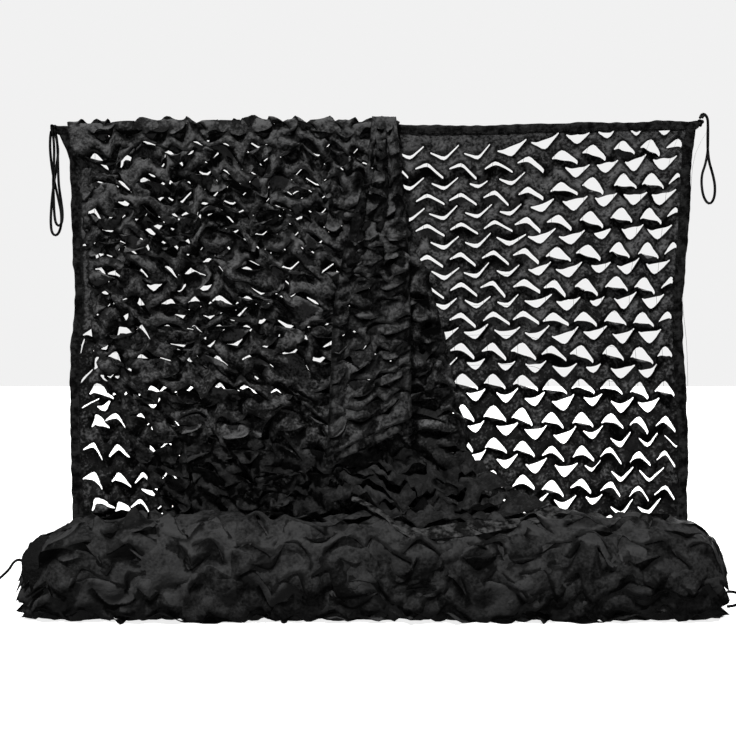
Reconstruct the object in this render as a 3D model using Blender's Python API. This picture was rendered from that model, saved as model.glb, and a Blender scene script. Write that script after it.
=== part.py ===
"""A leaf-cut camouflage net, hung by its top edge, with the rest of its length rolled on the floor.

The cloth is one long net, 1.5 m wide. Its hung length is the back layer, a loose layer is thrown over
the left half of the top edge, and the gathered end hangs in front of the middle. Folded tape binds the
edges, and thin cords are knotted to the corners. X runs to the right, Y away from the viewer and Z up.
The origin is the middle of the top edge. All sizes are in metres.
"""

import math
from collections import namedtuple

import bmesh
import bpy
from mathutils import Vector
from mathutils.geometry import delaunay_2d_cdt

# ---------------------------------------------------------------- driving dimensions

FLOOR = -1.145
CLOTH = 0.002
GAP = 0.0003

TAPE = 0.025
TOP_TAPE = 0.022
TAPE_THICK = 0.0035
CORNER_GAP = 0.0006

ROLL_Y = -0.155
ROLL_SETTLE = 0.006
ROLL_CLEAR = 0.005

HANG = 1.0
TUCK = 0.185
TUCK_TURN = math.radians(80)
TUCK_DEPTH = 0.10
TUCK_HEIGHT = 0.138

HEM = 0.024
CORD = 0.0045
CORD_STEP = 2.2 * CORD
KNOT = 0.007

BROAD_FOLD = 0.009
NARROW_FOLD = 0.005
FOLDS_START = 0.30

WOUND_STEP = 0.045
THREE_TWISTS = 0.022
FIVE_TWISTS = 0.020

# ---------------------------------------------------------------- short tables

EdgeRow = namedtuple("EdgeRow", "drop left right")
HUNG_EDGES = (
    EdgeRow(0.000, -0.768, 0.770),
    EdgeRow(0.075, -0.741, 0.759),
    EdgeRow(0.183, -0.737, 0.752),
    EdgeRow(0.327, -0.731, 0.743),
    EdgeRow(0.423, -0.727, 0.736),
    EdgeRow(0.543, -0.738, 0.736),
    EdgeRow(0.663, -0.738, 0.743),
    EdgeRow(0.807, -0.736, 0.748),
    EdgeRow(0.951, -0.729, 0.743),
    EdgeRow(1.200, -0.732, 0.740),
)

TopRow = namedtuple("TopRow", "across height")
TOP_LINE = (
    TopRow(-0.78, -0.005),
    TopRow(-0.40, 0.000),
    TopRow(0.00, 0.000),
    TopRow(0.20, -0.004),
    TopRow(0.40, 0.001),
    TopRow(0.78, 0.008),
)

FrontRow = namedtuple("FrontRow", "drop left right")
FRONT_EDGES = (
    FrontRow(0.000, -0.742, 0.052),
    FrontRow(0.187, -0.713, 0.067),
    FrontRow(0.306, -0.697, 0.091),
    FrontRow(0.401, -0.687, 0.127),
    FrontRow(0.591, -0.659, 0.174),
    FrontRow(0.672, -0.614, 0.194),
    FrontRow(0.757, -0.595, 0.212),
    FrontRow(0.880, -0.538, 0.241),
)

LieRow = namedtuple("LieRow", "share across depth height")
FRONT_FOOT = (
    LieRow(0.00, -0.480, -0.046, -0.972),
    LieRow(0.34, -0.280, -0.046, -0.975),
    LieRow(0.56, -0.130, -0.060, -0.955),
    LieRow(0.66, -0.058, -0.108, -0.892),
    LieRow(0.715, 0.008, -0.175, -0.917),
    LieRow(0.765, 0.071, -0.234, -0.956),
    LieRow(0.84, 0.178, -0.234, -0.956),
    LieRow(0.92, 0.295, -0.214, -0.942),
    LieRow(0.965, 0.381, -0.186, -0.930),
    LieRow(1.00, 0.446, -0.142, -0.914),
)
LIFT_START = 0.58

FlapRow = namedtuple("FlapRow", "drop left right forward")
FLAP_EDGES = (
    FlapRow(0.000, -0.010, 0.046, 0.016),
    FlapRow(0.147, -0.026, 0.058, 0.040),
    FlapRow(0.287, -0.062, 0.072, 0.052),
    FlapRow(0.427, -0.095, 0.078, 0.058),
    FlapRow(0.661, -0.109, 0.081, 0.064),
    FlapRow(0.900, -0.121, 0.084, 0.070),
)
FLAP_LEFT_DROP = 0.820
FLAP_RIGHT_DROP = 0.722

RollRow = namedtuple("RollRow", "across height")
ROLL_PROFILE = (
    RollRow(-0.800, 0.090),
    RollRow(-0.783, 0.134),
    RollRow(-0.750, 0.172),
    RollRow(-0.700, 0.209),
    RollRow(-0.600, 0.218),
    RollRow(0.000, 0.218),
    RollRow(0.640, 0.218),
    RollRow(0.700, 0.213),
    RollRow(0.740, 0.190),
    RollRow(0.770, 0.146),
    RollRow(0.786, 0.100),
)


def smooth(x):
    """0 below 0, 1 above 1, and a soft step between."""
    x = min(1.0, max(0.0, x))
    return x * x * (3 - 2 * x)


def read_table(table, column, at):
    """A column of a table at a value of its first column, with soft bends at the rows."""
    keys = [row[0] for row in table]
    values = [getattr(row, column) for row in table]
    if at <= keys[0]:
        return values[0]
    if at >= keys[-1]:
        return values[-1]
    i = max(k for k in range(len(keys) - 1) if keys[k] <= at)
    slopes = [(values[k + 1] - values[k]) / (keys[k + 1] - keys[k]) for k in range(len(keys) - 1)]
    start = slopes[0] if i == 0 else (slopes[i - 1] + slopes[i]) / 2
    end = slopes[-1] if i == len(slopes) - 1 else (slopes[i] + slopes[i + 1]) / 2
    width = keys[i + 1] - keys[i]
    q = (at - keys[i]) / width
    return (
        values[i] * (1 + 2 * q) * (1 - q) ** 2
        + start * width * q * (1 - q) ** 2
        + values[i + 1] * q * q * (3 - 2 * q)
        + end * width * q * q * (q - 1)
    )


def vary(a, b):
    """A fixed share from 0 to 1 for a pair of whole numbers, uneven from one pair to the next."""
    value = math.sin(12.9898 * a + 78.233 * b + 3.1) * 43758.5453
    return value - math.floor(value)


def top_height(across):
    return read_table(TOP_LINE, "height", across)


# ---------------------------------------------------------------- the shapes in which the layers hang


def hung_wave(across, drop):
    """How far the hung cloth stands behind its own plane: broad folds that fade towards the taut top."""
    broad = BROAD_FOLD * math.sin(2 * math.pi * (across / 0.95 + 0.10))
    narrow = NARROW_FOLD * math.sin(2 * math.pi * (across / 0.37 + drop / 1.8))
    return (broad + narrow) * smooth(drop / FOLDS_START)


def hung_point(share, drop):
    """The hung layer: straight down, then tucked in towards the roll's foot."""
    left = read_table(HUNG_EDGES, "left", drop) + TAPE
    right = read_table(HUNG_EDGES, "right", drop) - TAPE
    across = left + (right - left) * share
    if drop <= HANG:
        return Vector((across, hung_wave(across, drop), top_height(across) - drop))
    turn = (drop - HANG) / TUCK * TUCK_TURN
    depth = hung_wave(across, drop) * math.cos(turn) - TUCK_DEPTH * (1 - math.cos(turn))
    height = top_height(across) * math.cos(turn) - HANG - TUCK_HEIGHT * math.sin(turn)
    return Vector((across, depth, height))


def over_the_top(drop, radius):
    """The side view of cloth thrown over the top edge: (how far forward, how far below the edge)."""
    turn = drop / radius
    if abs(turn) < math.pi / 2:
        return radius * math.sin(turn), -radius * math.cos(turn)
    straight = abs(drop) - radius * math.pi / 2
    return math.copysign(radius, drop), straight


def roll_point(across, turn, share=1.0):
    """The roll's skin at a place along it and round it; share draws a ring in towards the middle."""
    half = read_table(ROLL_PROFILE, "height", across) / 2
    wound = 1.0 - WOUND_STEP * turn / (2 * math.pi)
    twist = THREE_TWISTS * math.sin(3 * turn + 9.0 * across)
    twist += FIVE_TWISTS * math.sin(5 * turn - 14.0 * across + 1.3)
    radius = half * share * (wound + twist * share)
    depth = ROLL_Y + radius * 1.04 * math.cos(turn)
    height = FLOOR + half - ROLL_SETTLE + radius * 1.03 * math.sin(turn)
    return Vector((across, depth, max(height, FLOOR)))


def clear_of_roll(point):
    """Moves a point out to just above the roll's skin where it would be inside the roll."""
    middle_height = FLOOR + read_table(ROLL_PROFILE, "height", point.x) / 2 - ROLL_SETTLE
    middle = Vector((point.x, ROLL_Y, middle_height))
    away = point - middle
    turn = math.atan2(away.z, away.y) % (2 * math.pi)
    least = (roll_point(point.x, turn) - middle).length + ROLL_CLEAR
    if away.length < least:
        return middle + away.normalized() * least
    return point


FRONT_FOLD = 0.008
FRONT_HANG = 0.80
FRONT_RETURN = 0.05
FRONT_LENGTH = 1.0
PLEAT_SHARE = 0.86
PLEAT_WIDTH = 0.110
PLEAT_DEPTH = 0.034
STREAKS = 0.30
STREAK_DEPTH = 0.007
LOW_FOLD = 0.006
SMALL_FOLD = 0.004
LOOSE = 0.005


def front_edge(side, drop):
    return read_table(FRONT_EDGES, side, drop)


def front_across(share, drop):
    """Where a place of the loose layer hangs; its right-hand pleat keeps its width."""
    left = front_edge("left", drop)
    right = front_edge("right", drop)
    pleat = right - PLEAT_WIDTH
    if share < PLEAT_SHARE:
        return left + (pleat - left) * share / PLEAT_SHARE
    return pleat + PLEAT_WIDTH * (share - PLEAT_SHARE) / (1 - PLEAT_SHARE)


def front_share(across, drop):
    """The share at a place across: front_across the other way round."""
    left = front_edge("left", drop)
    pleat = front_edge("right", drop) - PLEAT_WIDTH
    if across < pleat:
        return PLEAT_SHARE * (across - left) / (pleat - left)
    return PLEAT_SHARE + (1 - PLEAT_SHARE) * (across - pleat) / PLEAT_WIDTH


def front_hanging(share, drop):
    """The loose layer where it hangs: low folds, and one round pleat at its right-hand side."""
    across = front_across(share, drop)
    forward, below = over_the_top(drop, FRONT_FOLD)
    hanging = smooth(drop / 0.25)
    fold = LOOSE + LOW_FOLD * math.sin(2 * math.pi * (across / 0.31 + drop / 2.2))
    forward += hanging * (fold + SMALL_FOLD * math.sin(2 * math.pi * (across / 0.17 - drop / 0.9)))
    if share < STREAKS:
        streak = math.sin(math.pi * share / STREAKS) * math.cos(6 * math.pi * share / STREAKS)
        forward += STREAK_DEPTH * smooth((drop - 0.40) / 0.25) * streak
    if share > PLEAT_SHARE:
        turn = math.pi * (share - PLEAT_SHARE) / (1 - PLEAT_SHARE)
        forward += PLEAT_DEPTH * smooth((drop - 0.12) / 0.35) * math.sin(turn)
    depth = hung_wave(across, max(drop, 0.0)) - forward
    return Vector((across, depth, top_height(across) - below))


def front_point(share, drop):
    """The loose layer: over the top edge, down, and forward over the roll at its lower right."""
    if drop <= FRONT_HANG:
        return front_hanging(share, drop)
    start = front_hanging(share, FRONT_HANG)
    end = Vector([read_table(FRONT_FOOT, name, share) for name in ("across", "depth", "height")])
    middle = (start + end) / 2
    lift = smooth((share - LIFT_START) / 0.12)
    middle.x -= 0.30 * smooth((share - 0.70) / 0.20) * (end.x - start.x)
    middle.z += lift * (end.z + 0.030 - middle.z)
    q = (drop - FRONT_HANG) / (FRONT_LENGTH - FRONT_HANG)
    point = start * (1 - q) ** 2 + middle * 2 * q * (1 - q) + end * q * q
    point.z += lift * 0.008 * math.sin(math.pi * q) * math.sin(2 * math.pi * share / 0.24)
    return clear_of_roll(point)


FLAP_FOLD = 0.016
FLAP_RETURN = 0.045
FLAP_PLEATS = 2.5
FLAP_PLEAT_DEPTH = 0.011


def flap_point(share, drop):
    """The gathered end: narrow over the top edge, then wider, in three round pleats."""
    left = read_table(FLAP_EDGES, "left", drop)
    right = read_table(FLAP_EDGES, "right", drop)
    across = left + (right - left) * share
    forward, below = over_the_top(drop, FLAP_FOLD)
    if drop > 0:
        forward += read_table(FLAP_EDGES, "forward", drop) - FLAP_FOLD
        forward += FLAP_PLEAT_DEPTH * smooth(drop / 0.2) * math.cos(2 * math.pi * FLAP_PLEATS * share)
    return Vector((across, -forward, top_height(across) - below))


# ---------------------------------------------------------------- the chevron cuts

RowFit = namedtuple("RowFit", "across first pitch growth")
ROW_FITS = (
    RowFit(-0.320, 0.0575, 0.0697, 0.0000),
    RowFit(-0.080, 0.0850, 0.0720, 0.0000),
    RowFit(0.080, 0.0850, 0.0735, 0.0002),
    RowFit(0.165, 0.0850, 0.0710, 0.0002),
    RowFit(0.325, 0.0775, 0.0703, 0.0005),
    RowFit(0.400, 0.0640, 0.0740, 0.0004),
    RowFit(0.474, 0.0530, 0.0800, 0.0000),
    RowFit(0.540, 0.0420, 0.0810, -0.0001),
    RowFit(0.600, 0.0375, 0.0830, 0.0000),
)
ROWS = 13
BETWEEN = 0.004

# A cut's two arms from its point to its tips: how far across each reaches, and how far up or down.
CutArms = namedtuple("CutArms", "left left_rise right right_rise")
POINTING_DOWN = CutArms(0.030, 0.015, 0.032, 0.030)
POINTING_UP = CutArms(0.025, 0.015, 0.034, 0.028)

THIN_GAPE = 0.0095
OPEN_GAPE = 0.024
WIDE_GAPE = 0.030
BOTH_LAYERS_GAPE = 0.020
TAPE_CLEAR = 0.004

Opening = namedtuple("Opening", "points_down column row")
WIDE_OPENINGS = (
    Opening(True, 3, 0),
    Opening(True, 7, 1),
    Opening(True, 8, 1),
    Opening(False, 6, 1),
    Opening(False, 7, 1),
    Opening(False, 5, 2),
    Opening(False, 6, 2),
    Opening(True, 6, 3),
    Opening(True, 7, 3),
    Opening(False, 4, 3),
    Opening(False, 6, 3),
    Opening(True, 4, 4),
    Opening(True, 5, 5),
    Opening(True, 8, 5),
    Opening(False, 3, 6),
    Opening(False, 1, 7),
    Opening(False, 2, 7),
    Opening(False, 2, 8),
    Opening(False, 3, 8),
    Opening(True, 8, 8),
)


def column_across(column):
    """Where a column of cuts stands: wide columns near the middle, narrower towards the sides."""
    if column >= 0:
        return 0.0804 + 0.0835 * column - 0.00115 * column**2
    return 0.0804 + 0.0756 * column + 0.000815 * column**2


def row_drop(row, across):
    """How far down a row's points are; the rows rise and spread towards the right."""
    first, pitch, growth = (read_table(ROW_FITS, name, across) for name in ("first", "pitch", "growth"))
    return first + pitch * row + growth * row**2


def lean(across, drop):
    """How far a column has slipped sideways: right near the top, and left near the foot."""
    return smooth((across - 0.15) / 0.4) * (0.014 - 0.036 * smooth(drop / 0.65))


def pull(across, drop):
    """How much the net is pulled long and narrow, from the middle to the right and the foot."""
    return smooth(0.9 * max((abs(across) - 0.30) / 0.30, (drop - 0.35) / 0.35))


def openness(across, drop):
    """How far a cut's leaf has swung away, from thin slits near the middle to open gaps."""
    return smooth(0.22 + 0.9 * max((abs(across) - 0.34) / 0.25, (drop - 0.46) / 0.25))


def tape_edge(side, drop):
    """Where the side tape starts, as a place across."""
    return read_table(HUNG_EDGES, side, drop) + (TAPE if side == "left" else -TAPE)


class Cut:
    """One chevron cut: where its point is, which way it points, and its four flat corners."""

    def __init__(self, points_down, column, row):
        self.points_down = points_down
        self.seed = vary(2 * column + points_down, row)
        across = column_across(column)
        if not points_down:
            across = (across + column_across(column + 1)) / 2
        self.drop = row_drop(row, across) + (0.0 if points_down else BETWEEN)
        self.low = tape_edge("left", self.drop) + TAPE_CLEAR
        self.high = tape_edge("right", self.drop) - TAPE_CLEAR
        self.across = across + lean(across, self.drop)
        open_share = openness(self.across, self.drop) * (0.50 + 0.50 * self.seed)
        self.gape = THIN_GAPE + (OPEN_GAPE - THIN_GAPE) * open_share
        if Opening(points_down, column, row) in WIDE_OPENINGS:
            self.gape = WIDE_GAPE

    def corners(self):
        """The two tips, the point and the notch, as places across and drops."""
        arms = POINTING_DOWN if self.points_down else POINTING_UP
        reach = 1 - 0.13 * pull(self.across, self.drop)
        rise = 1 + 0.25 * pull(self.across, self.drop)
        up = -1 if self.points_down else 1
        left, right = arms.left * reach, arms.right * reach
        left_part = min(1.0, (self.across - self.low) / left)
        right_part = min(1.0, (self.high - self.across) / right)
        if self.points_down:
            room = (self.drop - HUNG_TOP - GAP * 10) / rise
            left_part = min(left_part, room / arms.left_rise)
            right_part = min(right_part, room / arms.right_rise)
        gape = self.gape * min(1.0, left_part + right_part - 0.6)
        return (
            (self.across - left * left_part, self.drop + up * arms.left_rise * rise * left_part),
            (self.across, self.drop),
            (self.across + right * right_part, self.drop + up * arms.right_rise * rise * right_part),
            (self.across + 0.003, self.drop + up * gape),
        )

    def fits(self, low, high, lowest):
        """Whether the cut is inside the tapes, between two places across and above a drop."""
        inside_tapes = self.low < self.across < self.high - TAPE_CLEAR
        tips = self.corners()
        return inside_tapes and tips[0][0] > low and tips[2][0] < high and self.drop < lowest


LEFT_COLUMNS = range(-12, -7)
MIDDLE_COLUMNS = range(-10, 0)
LAST_COLUMN = 9
RIGHT_COLUMNS = range(0, LAST_COLUMN + 1)
LOWEST_CUT = 0.935
SHOW_THROUGH = 44


def all_cuts(columns):
    return [Cut(down, c, r) for c in columns for r in range(ROWS) for down in (True, False)]


def hung_cuts():
    """The cuts that show in the hung layer: the right half, and the strip that the loose layer leaves."""
    seen = []
    for cut in all_cuts(RIGHT_COLUMNS):
        covered = front_edge("right", min(cut.drop, 0.89)) + 0.006 + 2.6 * max(0.0, cut.drop - 0.89)
        if cut.fits(covered, 1.0, LOWEST_CUT):
            seen.append(cut)
    for cut in all_cuts(LEFT_COLUMNS):
        if cut.drop > 0.54 and cut.fits(-1.0, front_edge("left", cut.drop) + 0.012, LOWEST_CUT):
            seen.append(cut)
    return seen


def light_share(cut):
    """How often light shows through both layers: mostly at the far left and near the upper middle."""
    beside = 0.75 * smooth((-0.50 - cut.across) / 0.12)
    middle = 0.45 * smooth(1.0 - abs(cut.across + 0.22) / 0.30) * smooth((0.62 - cut.drop) / 0.15)
    return max(beside, middle, 0.10)


def show_through_cuts():
    """The cuts that line up in both layers on the left, so that light shows through them."""
    found = []
    for cut in all_cuts(LEFT_COLUMNS[:2]) + all_cuts(MIDDLE_COLUMNS):
        low = front_edge("left", cut.drop) + 0.020
        if cut.fits(low, -0.015 - 0.14 * cut.drop, 0.76) and vary(7 * cut.seed, cut.drop) < light_share(cut):
            cut.gape = BOTH_LAYERS_GAPE
            found.append(cut)
    return found[:SHOW_THROUGH]


# ---------------------------------------------------------------- closed solids from sheets

BESIDE_HOLE = 0.012
SIDE_STEP = 0.002


def inside(polygon, point):
    """Whether a flat point is in a polygon."""
    found = False
    for (ax, ay), (bx, by) in zip(polygon, polygon[1:] + polygon[:1]):
        if (ay > point[1]) != (by > point[1]):
            if point[0] < (bx - ax) * (point[1] - ay) / (by - ay) + ax:
                found = not found
    return found


def distance_to(polygon, point):
    """How far a flat point is from a polygon's sides."""
    here = Vector(point)
    least = 1.0
    for a, b in zip(polygon, polygon[1:] + polygon[:1]):
        start, way = Vector(a), Vector(b) - Vector(a)
        share = min(1.0, max(0.0, (here - start).dot(way) / way.length_squared))
        least = min(least, (here - start - way * share).length)
    return least


def steps(low, high, step):
    """Evenly spaced values from low to high, both included."""
    count = max(1, round((high - low) / step))
    return [low + (high - low) * i / count for i in range(count + 1)]


def cut_pattern(places, downs, holes, grid):
    """The flat cloth as triangles: its outline, its holes, and points for its folds.

    The flat outline is a rectangle with points at all the places across and all the drops. The result
    is the list of flat points and the list of triangles.
    """
    width = places[-1]
    outline = [(x, downs[0]) for x in places]
    outline += [(width, d) for d in downs[1:]]
    outline += [(x, downs[-1]) for x in reversed(places[:-1])]
    outline += [(0.0, d) for d in reversed(downs[1:-1])]
    points = list(outline)
    edges = [(i, (i + 1) % len(outline)) for i in range(len(outline))]
    faces = []
    for hole in holes:
        first = len(points)
        turning = sum(a[0] * b[1] - b[0] * a[1] for a, b in zip(hole, hole[1:] + hole[:1]))
        points += hole if turning > 0 else hole[::-1]
        faces.append([first + i for i in range(len(hole))])
    for x, d in grid:
        near = [h for h in holes if abs(h[1][0] - x) < 0.06 and abs(h[1][1] - d) < 0.06]
        if all(not inside(h, (x, d)) and distance_to(h, (x, d)) > BESIDE_HOLE for h in near):
            points.append((x, d))
    result = delaunay_2d_cdt([Vector(p) for p in points], edges, faces, 0, 1e-6)
    triangles = [tuple(f) for f, source in zip(result[2], result[5]) if not source]
    return [tuple(v) for v in result[0]], triangles


def add_object(name, mesh, material):
    body = bpy.data.objects.new(name, mesh)
    body.data.materials.append(material)
    bpy.context.scene.collection.objects.link(body)
    return body


def mesh_from(name, vertices, faces):
    """A closed mesh with its faces pointing out."""
    mesh = bpy.data.meshes.new(name)
    mesh.from_pydata(vertices, [], faces)
    shape = bmesh.new()
    shape.from_mesh(mesh)
    bmesh.ops.recalc_face_normals(shape, faces=shape.faces)
    if shape.calc_volume(signed=True) < 0:
        bmesh.ops.reverse_faces(shape, faces=shape.faces)
    shape.to_mesh(mesh)
    shape.free()
    mesh.shade_smooth()
    mesh.set_sharp_from_angle(angle=math.radians(40))
    return mesh


def surface_sides(surface, share, drop, thickness):
    """The two faces of a sheet at one place: the middle surface moved half a thickness each way."""
    middle = surface(share, drop)
    across = surface(share + SIDE_STEP, drop) - surface(share - SIDE_STEP, drop)
    down = surface(share, drop + SIDE_STEP) - surface(share, drop - SIDE_STEP)
    normal = across.cross(down).normalized()
    return middle + normal * thickness / 2, middle - normal * thickness / 2


def sheet_solid(name, surface, pattern, width, thickness, material):
    """Thickens a flat pattern that hangs on a surface into one closed solid."""
    points, triangles = pattern
    used = sorted({i for t in triangles for i in t})
    number = {old: new for new, old in enumerate(used)}
    front, back = [], []
    for i in used:
        a, b = surface_sides(surface, points[i][0] / width, points[i][1], thickness)
        front.append(a)
        back.append(b)
    count = len(used)
    faces, rims = [], {}
    for t in triangles:
        a, b, c = (number[i] for i in t)
        faces.append((a, b, c))
        faces.append((c + count, b + count, a + count))
        for edge in ((a, b), (b, c), (c, a)):
            if (edge[1], edge[0]) in rims:
                del rims[(edge[1], edge[0])]
            else:
                rims[edge] = True
    for a, b in rims:
        faces.append((b, a, a + count, b + count))
    return add_object(name, mesh_from(name, front + back, faces), material)


def strip_solid(name, edges, thickness, material):
    """A tape along a row of stations: each gives the tape's two edges and its facing direction."""
    vertices, faces = [], []
    for inner, outer, normal in edges:
        lift = normal * thickness / 2
        vertices += [inner + lift, outer + lift, outer - lift, inner - lift]
    for i in range(len(edges) - 1):
        a, b = 4 * i, 4 * i + 4
        for k in range(4):
            n = (k + 1) % 4
            faces.append((a + k, a + n, b + n, b + k))
    faces.append((3, 2, 1, 0))
    last = 4 * (len(edges) - 1)
    faces.append((last, last + 1, last + 2, last + 3))
    return add_object(name, mesh_from(name, vertices, faces), material)


def plain_material(name, colour, roughness):
    material = bpy.data.materials.new(name)
    material.use_nodes = True
    shader = material.node_tree.nodes["Principled BSDF"]
    shader.inputs["Base Color"].default_value = (*colour, 1.0)
    shader.inputs["Roughness"].default_value = roughness
    shader.inputs["Metallic"].default_value = 0.0
    return material


# ---------------------------------------------------------------- the layers

HUNG_WIDTH = 1.45
HUNG_TOP = TOP_TAPE
HUNG_FOOT = HANG + TUCK
SIDE_DROPS = steps(HUNG_TOP, HANG, 0.06) + steps(HANG, HUNG_FOOT, 0.037)[1:]
FRONT_WIDTH = 0.85
FOLD_START = 0.54 * FRONT_WIDTH
FOLD_END = 0.80 * FRONT_WIDTH
FRONT_PLEAT = PLEAT_SHARE * FRONT_WIDTH
FRONT_PLACES = steps(0.0, FOLD_START, 0.060) + steps(FOLD_START, FOLD_END, 0.028)[1:]
FRONT_PLACES += steps(FOLD_END, FRONT_PLEAT, 0.055)[1:] + steps(FRONT_PLEAT, FRONT_WIDTH, 0.030)[1:]
FLAP_WIDTH = 0.18


def hung_share(across, drop):
    """The share of the hung cloth's width at a place across."""
    left = tape_edge("left", drop)
    return (across - left) / (tape_edge("right", drop) - left)


def place_holes(cuts, share_of, width):
    return [[(share_of(across, drop) * width, drop) for across, drop in cut.corners()] for cut in cuts]


def build_hung_net(material):
    holes = place_holes(hung_cuts() + show_through_cuts(), hung_share, HUNG_WIDTH)
    grid = [(x, d) for x in steps(0.07, HUNG_WIDTH - 0.07, 0.11) for d in SIDE_DROPS[2:-1:2]]
    grid += [(x, d) for x in steps(0.07, HUNG_WIDTH - 0.07, 0.11) for d in SIDE_DROPS[-5:-1]]
    pattern = cut_pattern(steps(0.0, HUNG_WIDTH, 0.06), SIDE_DROPS, holes, sorted(set(grid)))
    return sheet_solid("hung_net", hung_point, pattern, HUNG_WIDTH, CLOTH, material)


def front_end(share):
    """Where the loose layer's cloth stops and its hem tape starts, as a drop."""
    run = (front_point(share, FRONT_LENGTH) - front_point(share, FRONT_HANG)).length * 1.12
    return FRONT_LENGTH - (FRONT_LENGTH - FRONT_HANG) * HEM / run


def front_cloth(share, drop):
    """The loose layer's surface with its foot drawn up to where the hem tape starts."""
    if drop > FRONT_HANG:
        drawn = (front_end(share) - FRONT_HANG) / (FRONT_LENGTH - FRONT_HANG)
        drop = FRONT_HANG + (drop - FRONT_HANG) * drawn
    return front_point(share, drop)


def build_front_net(material):
    holes = place_holes(show_through_cuts(), front_share, FRONT_WIDTH)
    turned = [-FRONT_FOLD * 1.6, -FRONT_FOLD * 0.8, 0.0, FRONT_FOLD * 0.8, FRONT_FOLD * 1.6]
    downs = [-FRONT_RETURN] + turned
    downs += steps(0.06, FRONT_HANG, 0.062)
    downs += steps(FRONT_HANG, FRONT_LENGTH, 0.029)[1:]
    grid = [(x, d) for x in FRONT_PLACES[1:-1] for d in downs[1:-1]]
    pattern = cut_pattern(FRONT_PLACES, downs, holes, grid)
    return sheet_solid("front_net", front_cloth, pattern, FRONT_WIDTH, CLOTH, material)


def flap_end(share):
    return FLAP_LEFT_DROP + (FLAP_RIGHT_DROP - FLAP_LEFT_DROP) * share


def flap_cloth(share, drop):
    """The gathered end's surface, with its foot on the slanted line of the hem."""
    level = 0.30
    if drop > level:
        drop = level + (drop - level) * (flap_end(share) - level) / (FLAP_LEFT_DROP - level)
    return flap_point(share, drop)


def build_centre_flap(material):
    turned = [-FLAP_FOLD * 1.6, -FLAP_FOLD * 0.8, 0.0, FLAP_FOLD * 0.8, FLAP_FOLD * 1.6]
    downs = [-FLAP_RETURN] + turned + steps(0.07, FLAP_LEFT_DROP, 0.075)
    grid = [(x, d) for x in steps(0.0, FLAP_WIDTH, 0.015)[1:-1] for d in downs[1:-1]]
    pattern = cut_pattern(steps(0.0, FLAP_WIDTH, 0.015), downs, [], grid)
    return sheet_solid("centre_flap", flap_cloth, pattern, FLAP_WIDTH, CLOTH, material)


# ---------------------------------------------------------------- the roll


RingRow = namedtuple("RingRow", "across share")
LEFT_RINGS = (
    RingRow(-0.800, 0.15),
    RingRow(-0.800, 0.45),
    RingRow(-0.800, 0.75),
    RingRow(-0.800, 1.00),
    RingRow(-0.792, 1.00),
    RingRow(-0.781, 1.00),
    RingRow(-0.766, 1.00),
    RingRow(-0.748, 1.00),
    RingRow(-0.728, 1.00),
    RingRow(-0.700, 1.00),
    RingRow(-0.660, 1.00),
)
RIGHT_RINGS = (
    RingRow(0.660, 1.00),
    RingRow(0.700, 1.00),
    RingRow(0.724, 1.00),
    RingRow(0.742, 1.00),
    RingRow(0.757, 1.00),
    RingRow(0.770, 1.00),
    RingRow(0.779, 1.00),
    RingRow(0.786, 1.00),
    RingRow(0.786, 0.75),
    RingRow(0.786, 0.45),
    RingRow(0.786, 0.15),
)
ROLL_SIDES = 36
ROLL_STEP = 0.083
LAYER = 0.024
LAYER_STEP = 0.012


def roll_ring(ring, outward):
    """One ring of the roll. Near its ends the wound layers stand out and sink back along a spiral."""
    points = []
    for i in range(ROLL_SIDES):
        turn = 2 * math.pi * i / ROLL_SIDES
        point = roll_point(ring.across, turn, ring.share)
        half = read_table(ROLL_PROFILE, "height", ring.across) / 2 * ring.share
        near_end = smooth((abs(ring.across) - 0.69) / 0.03)
        layer = (half / LAYER + turn / (2 * math.pi)) % 1.0
        bulge = 0.010 * (1 - ring.share)
        point.x += outward * (near_end * LAYER_STEP * (0.5 - layer) + bulge)
        points.append(point)
    return points


def build_roll(material):
    """One solid of the wound form: the leading edge steps down by a layer, and the ends are a spiral."""
    rings = [roll_ring(row, -1) for row in LEFT_RINGS]
    for across in steps(LEFT_RINGS[-1].across, RIGHT_RINGS[0].across, ROLL_STEP)[1:-1]:
        rings.append(roll_ring(RingRow(across, 1.0), 1))
    rings += [roll_ring(row, 1) for row in RIGHT_RINGS]
    vertices = [p for ring in rings for p in ring]
    faces = []
    for i in range(len(rings) - 1):
        for k in range(ROLL_SIDES):
            a, b = i * ROLL_SIDES + k, i * ROLL_SIDES + (k + 1) % ROLL_SIDES
            faces.append((a, b, b + ROLL_SIDES, a + ROLL_SIDES))
    for i in (0, len(rings) - 1):
        vertices.append(sum(rings[i], Vector()) / ROLL_SIDES)
        first = i * ROLL_SIDES
        for k in range(ROLL_SIDES):
            faces.append((first + k, first + (k + 1) % ROLL_SIDES, len(vertices) - 1))
    return add_object("net_roll", mesh_from("net_roll", vertices, faces), material)


# ---------------------------------------------------------------- the tapes


def facing(surface, share, drop):
    front, back = surface_sides(surface, share, drop, 2.0)
    return (front - back) / 2


def build_top_tape(material):
    left, right = HUNG_EDGES[0].left, HUNG_EDGES[0].right
    edges = []
    for across in steps(left, right, 0.055):
        top = top_height(across)
        low = Vector((across, 0.0, top - TOP_TAPE + GAP))
        edges.append((low, Vector((across, 0.0, top)), Vector((0, -1, 0))))
    return strip_solid("binding_top", edges, TAPE_THICK, material)


def build_side_tape(name, share, outward, material):
    """A folded tape down one side of the hung layer, beside the cloth's own edge."""
    edges = []
    for drop in [HUNG_TOP + CORNER_GAP] + SIDE_DROPS[1:]:
        edge = hung_point(share, drop)
        inner = edge + Vector((outward * GAP, 0, 0))
        outer = edge + Vector((outward * TAPE, 0, 0))
        edges.append((inner, outer, facing(hung_point, share, drop)))
    return strip_solid(name, edges, TAPE_THICK, material)


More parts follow.
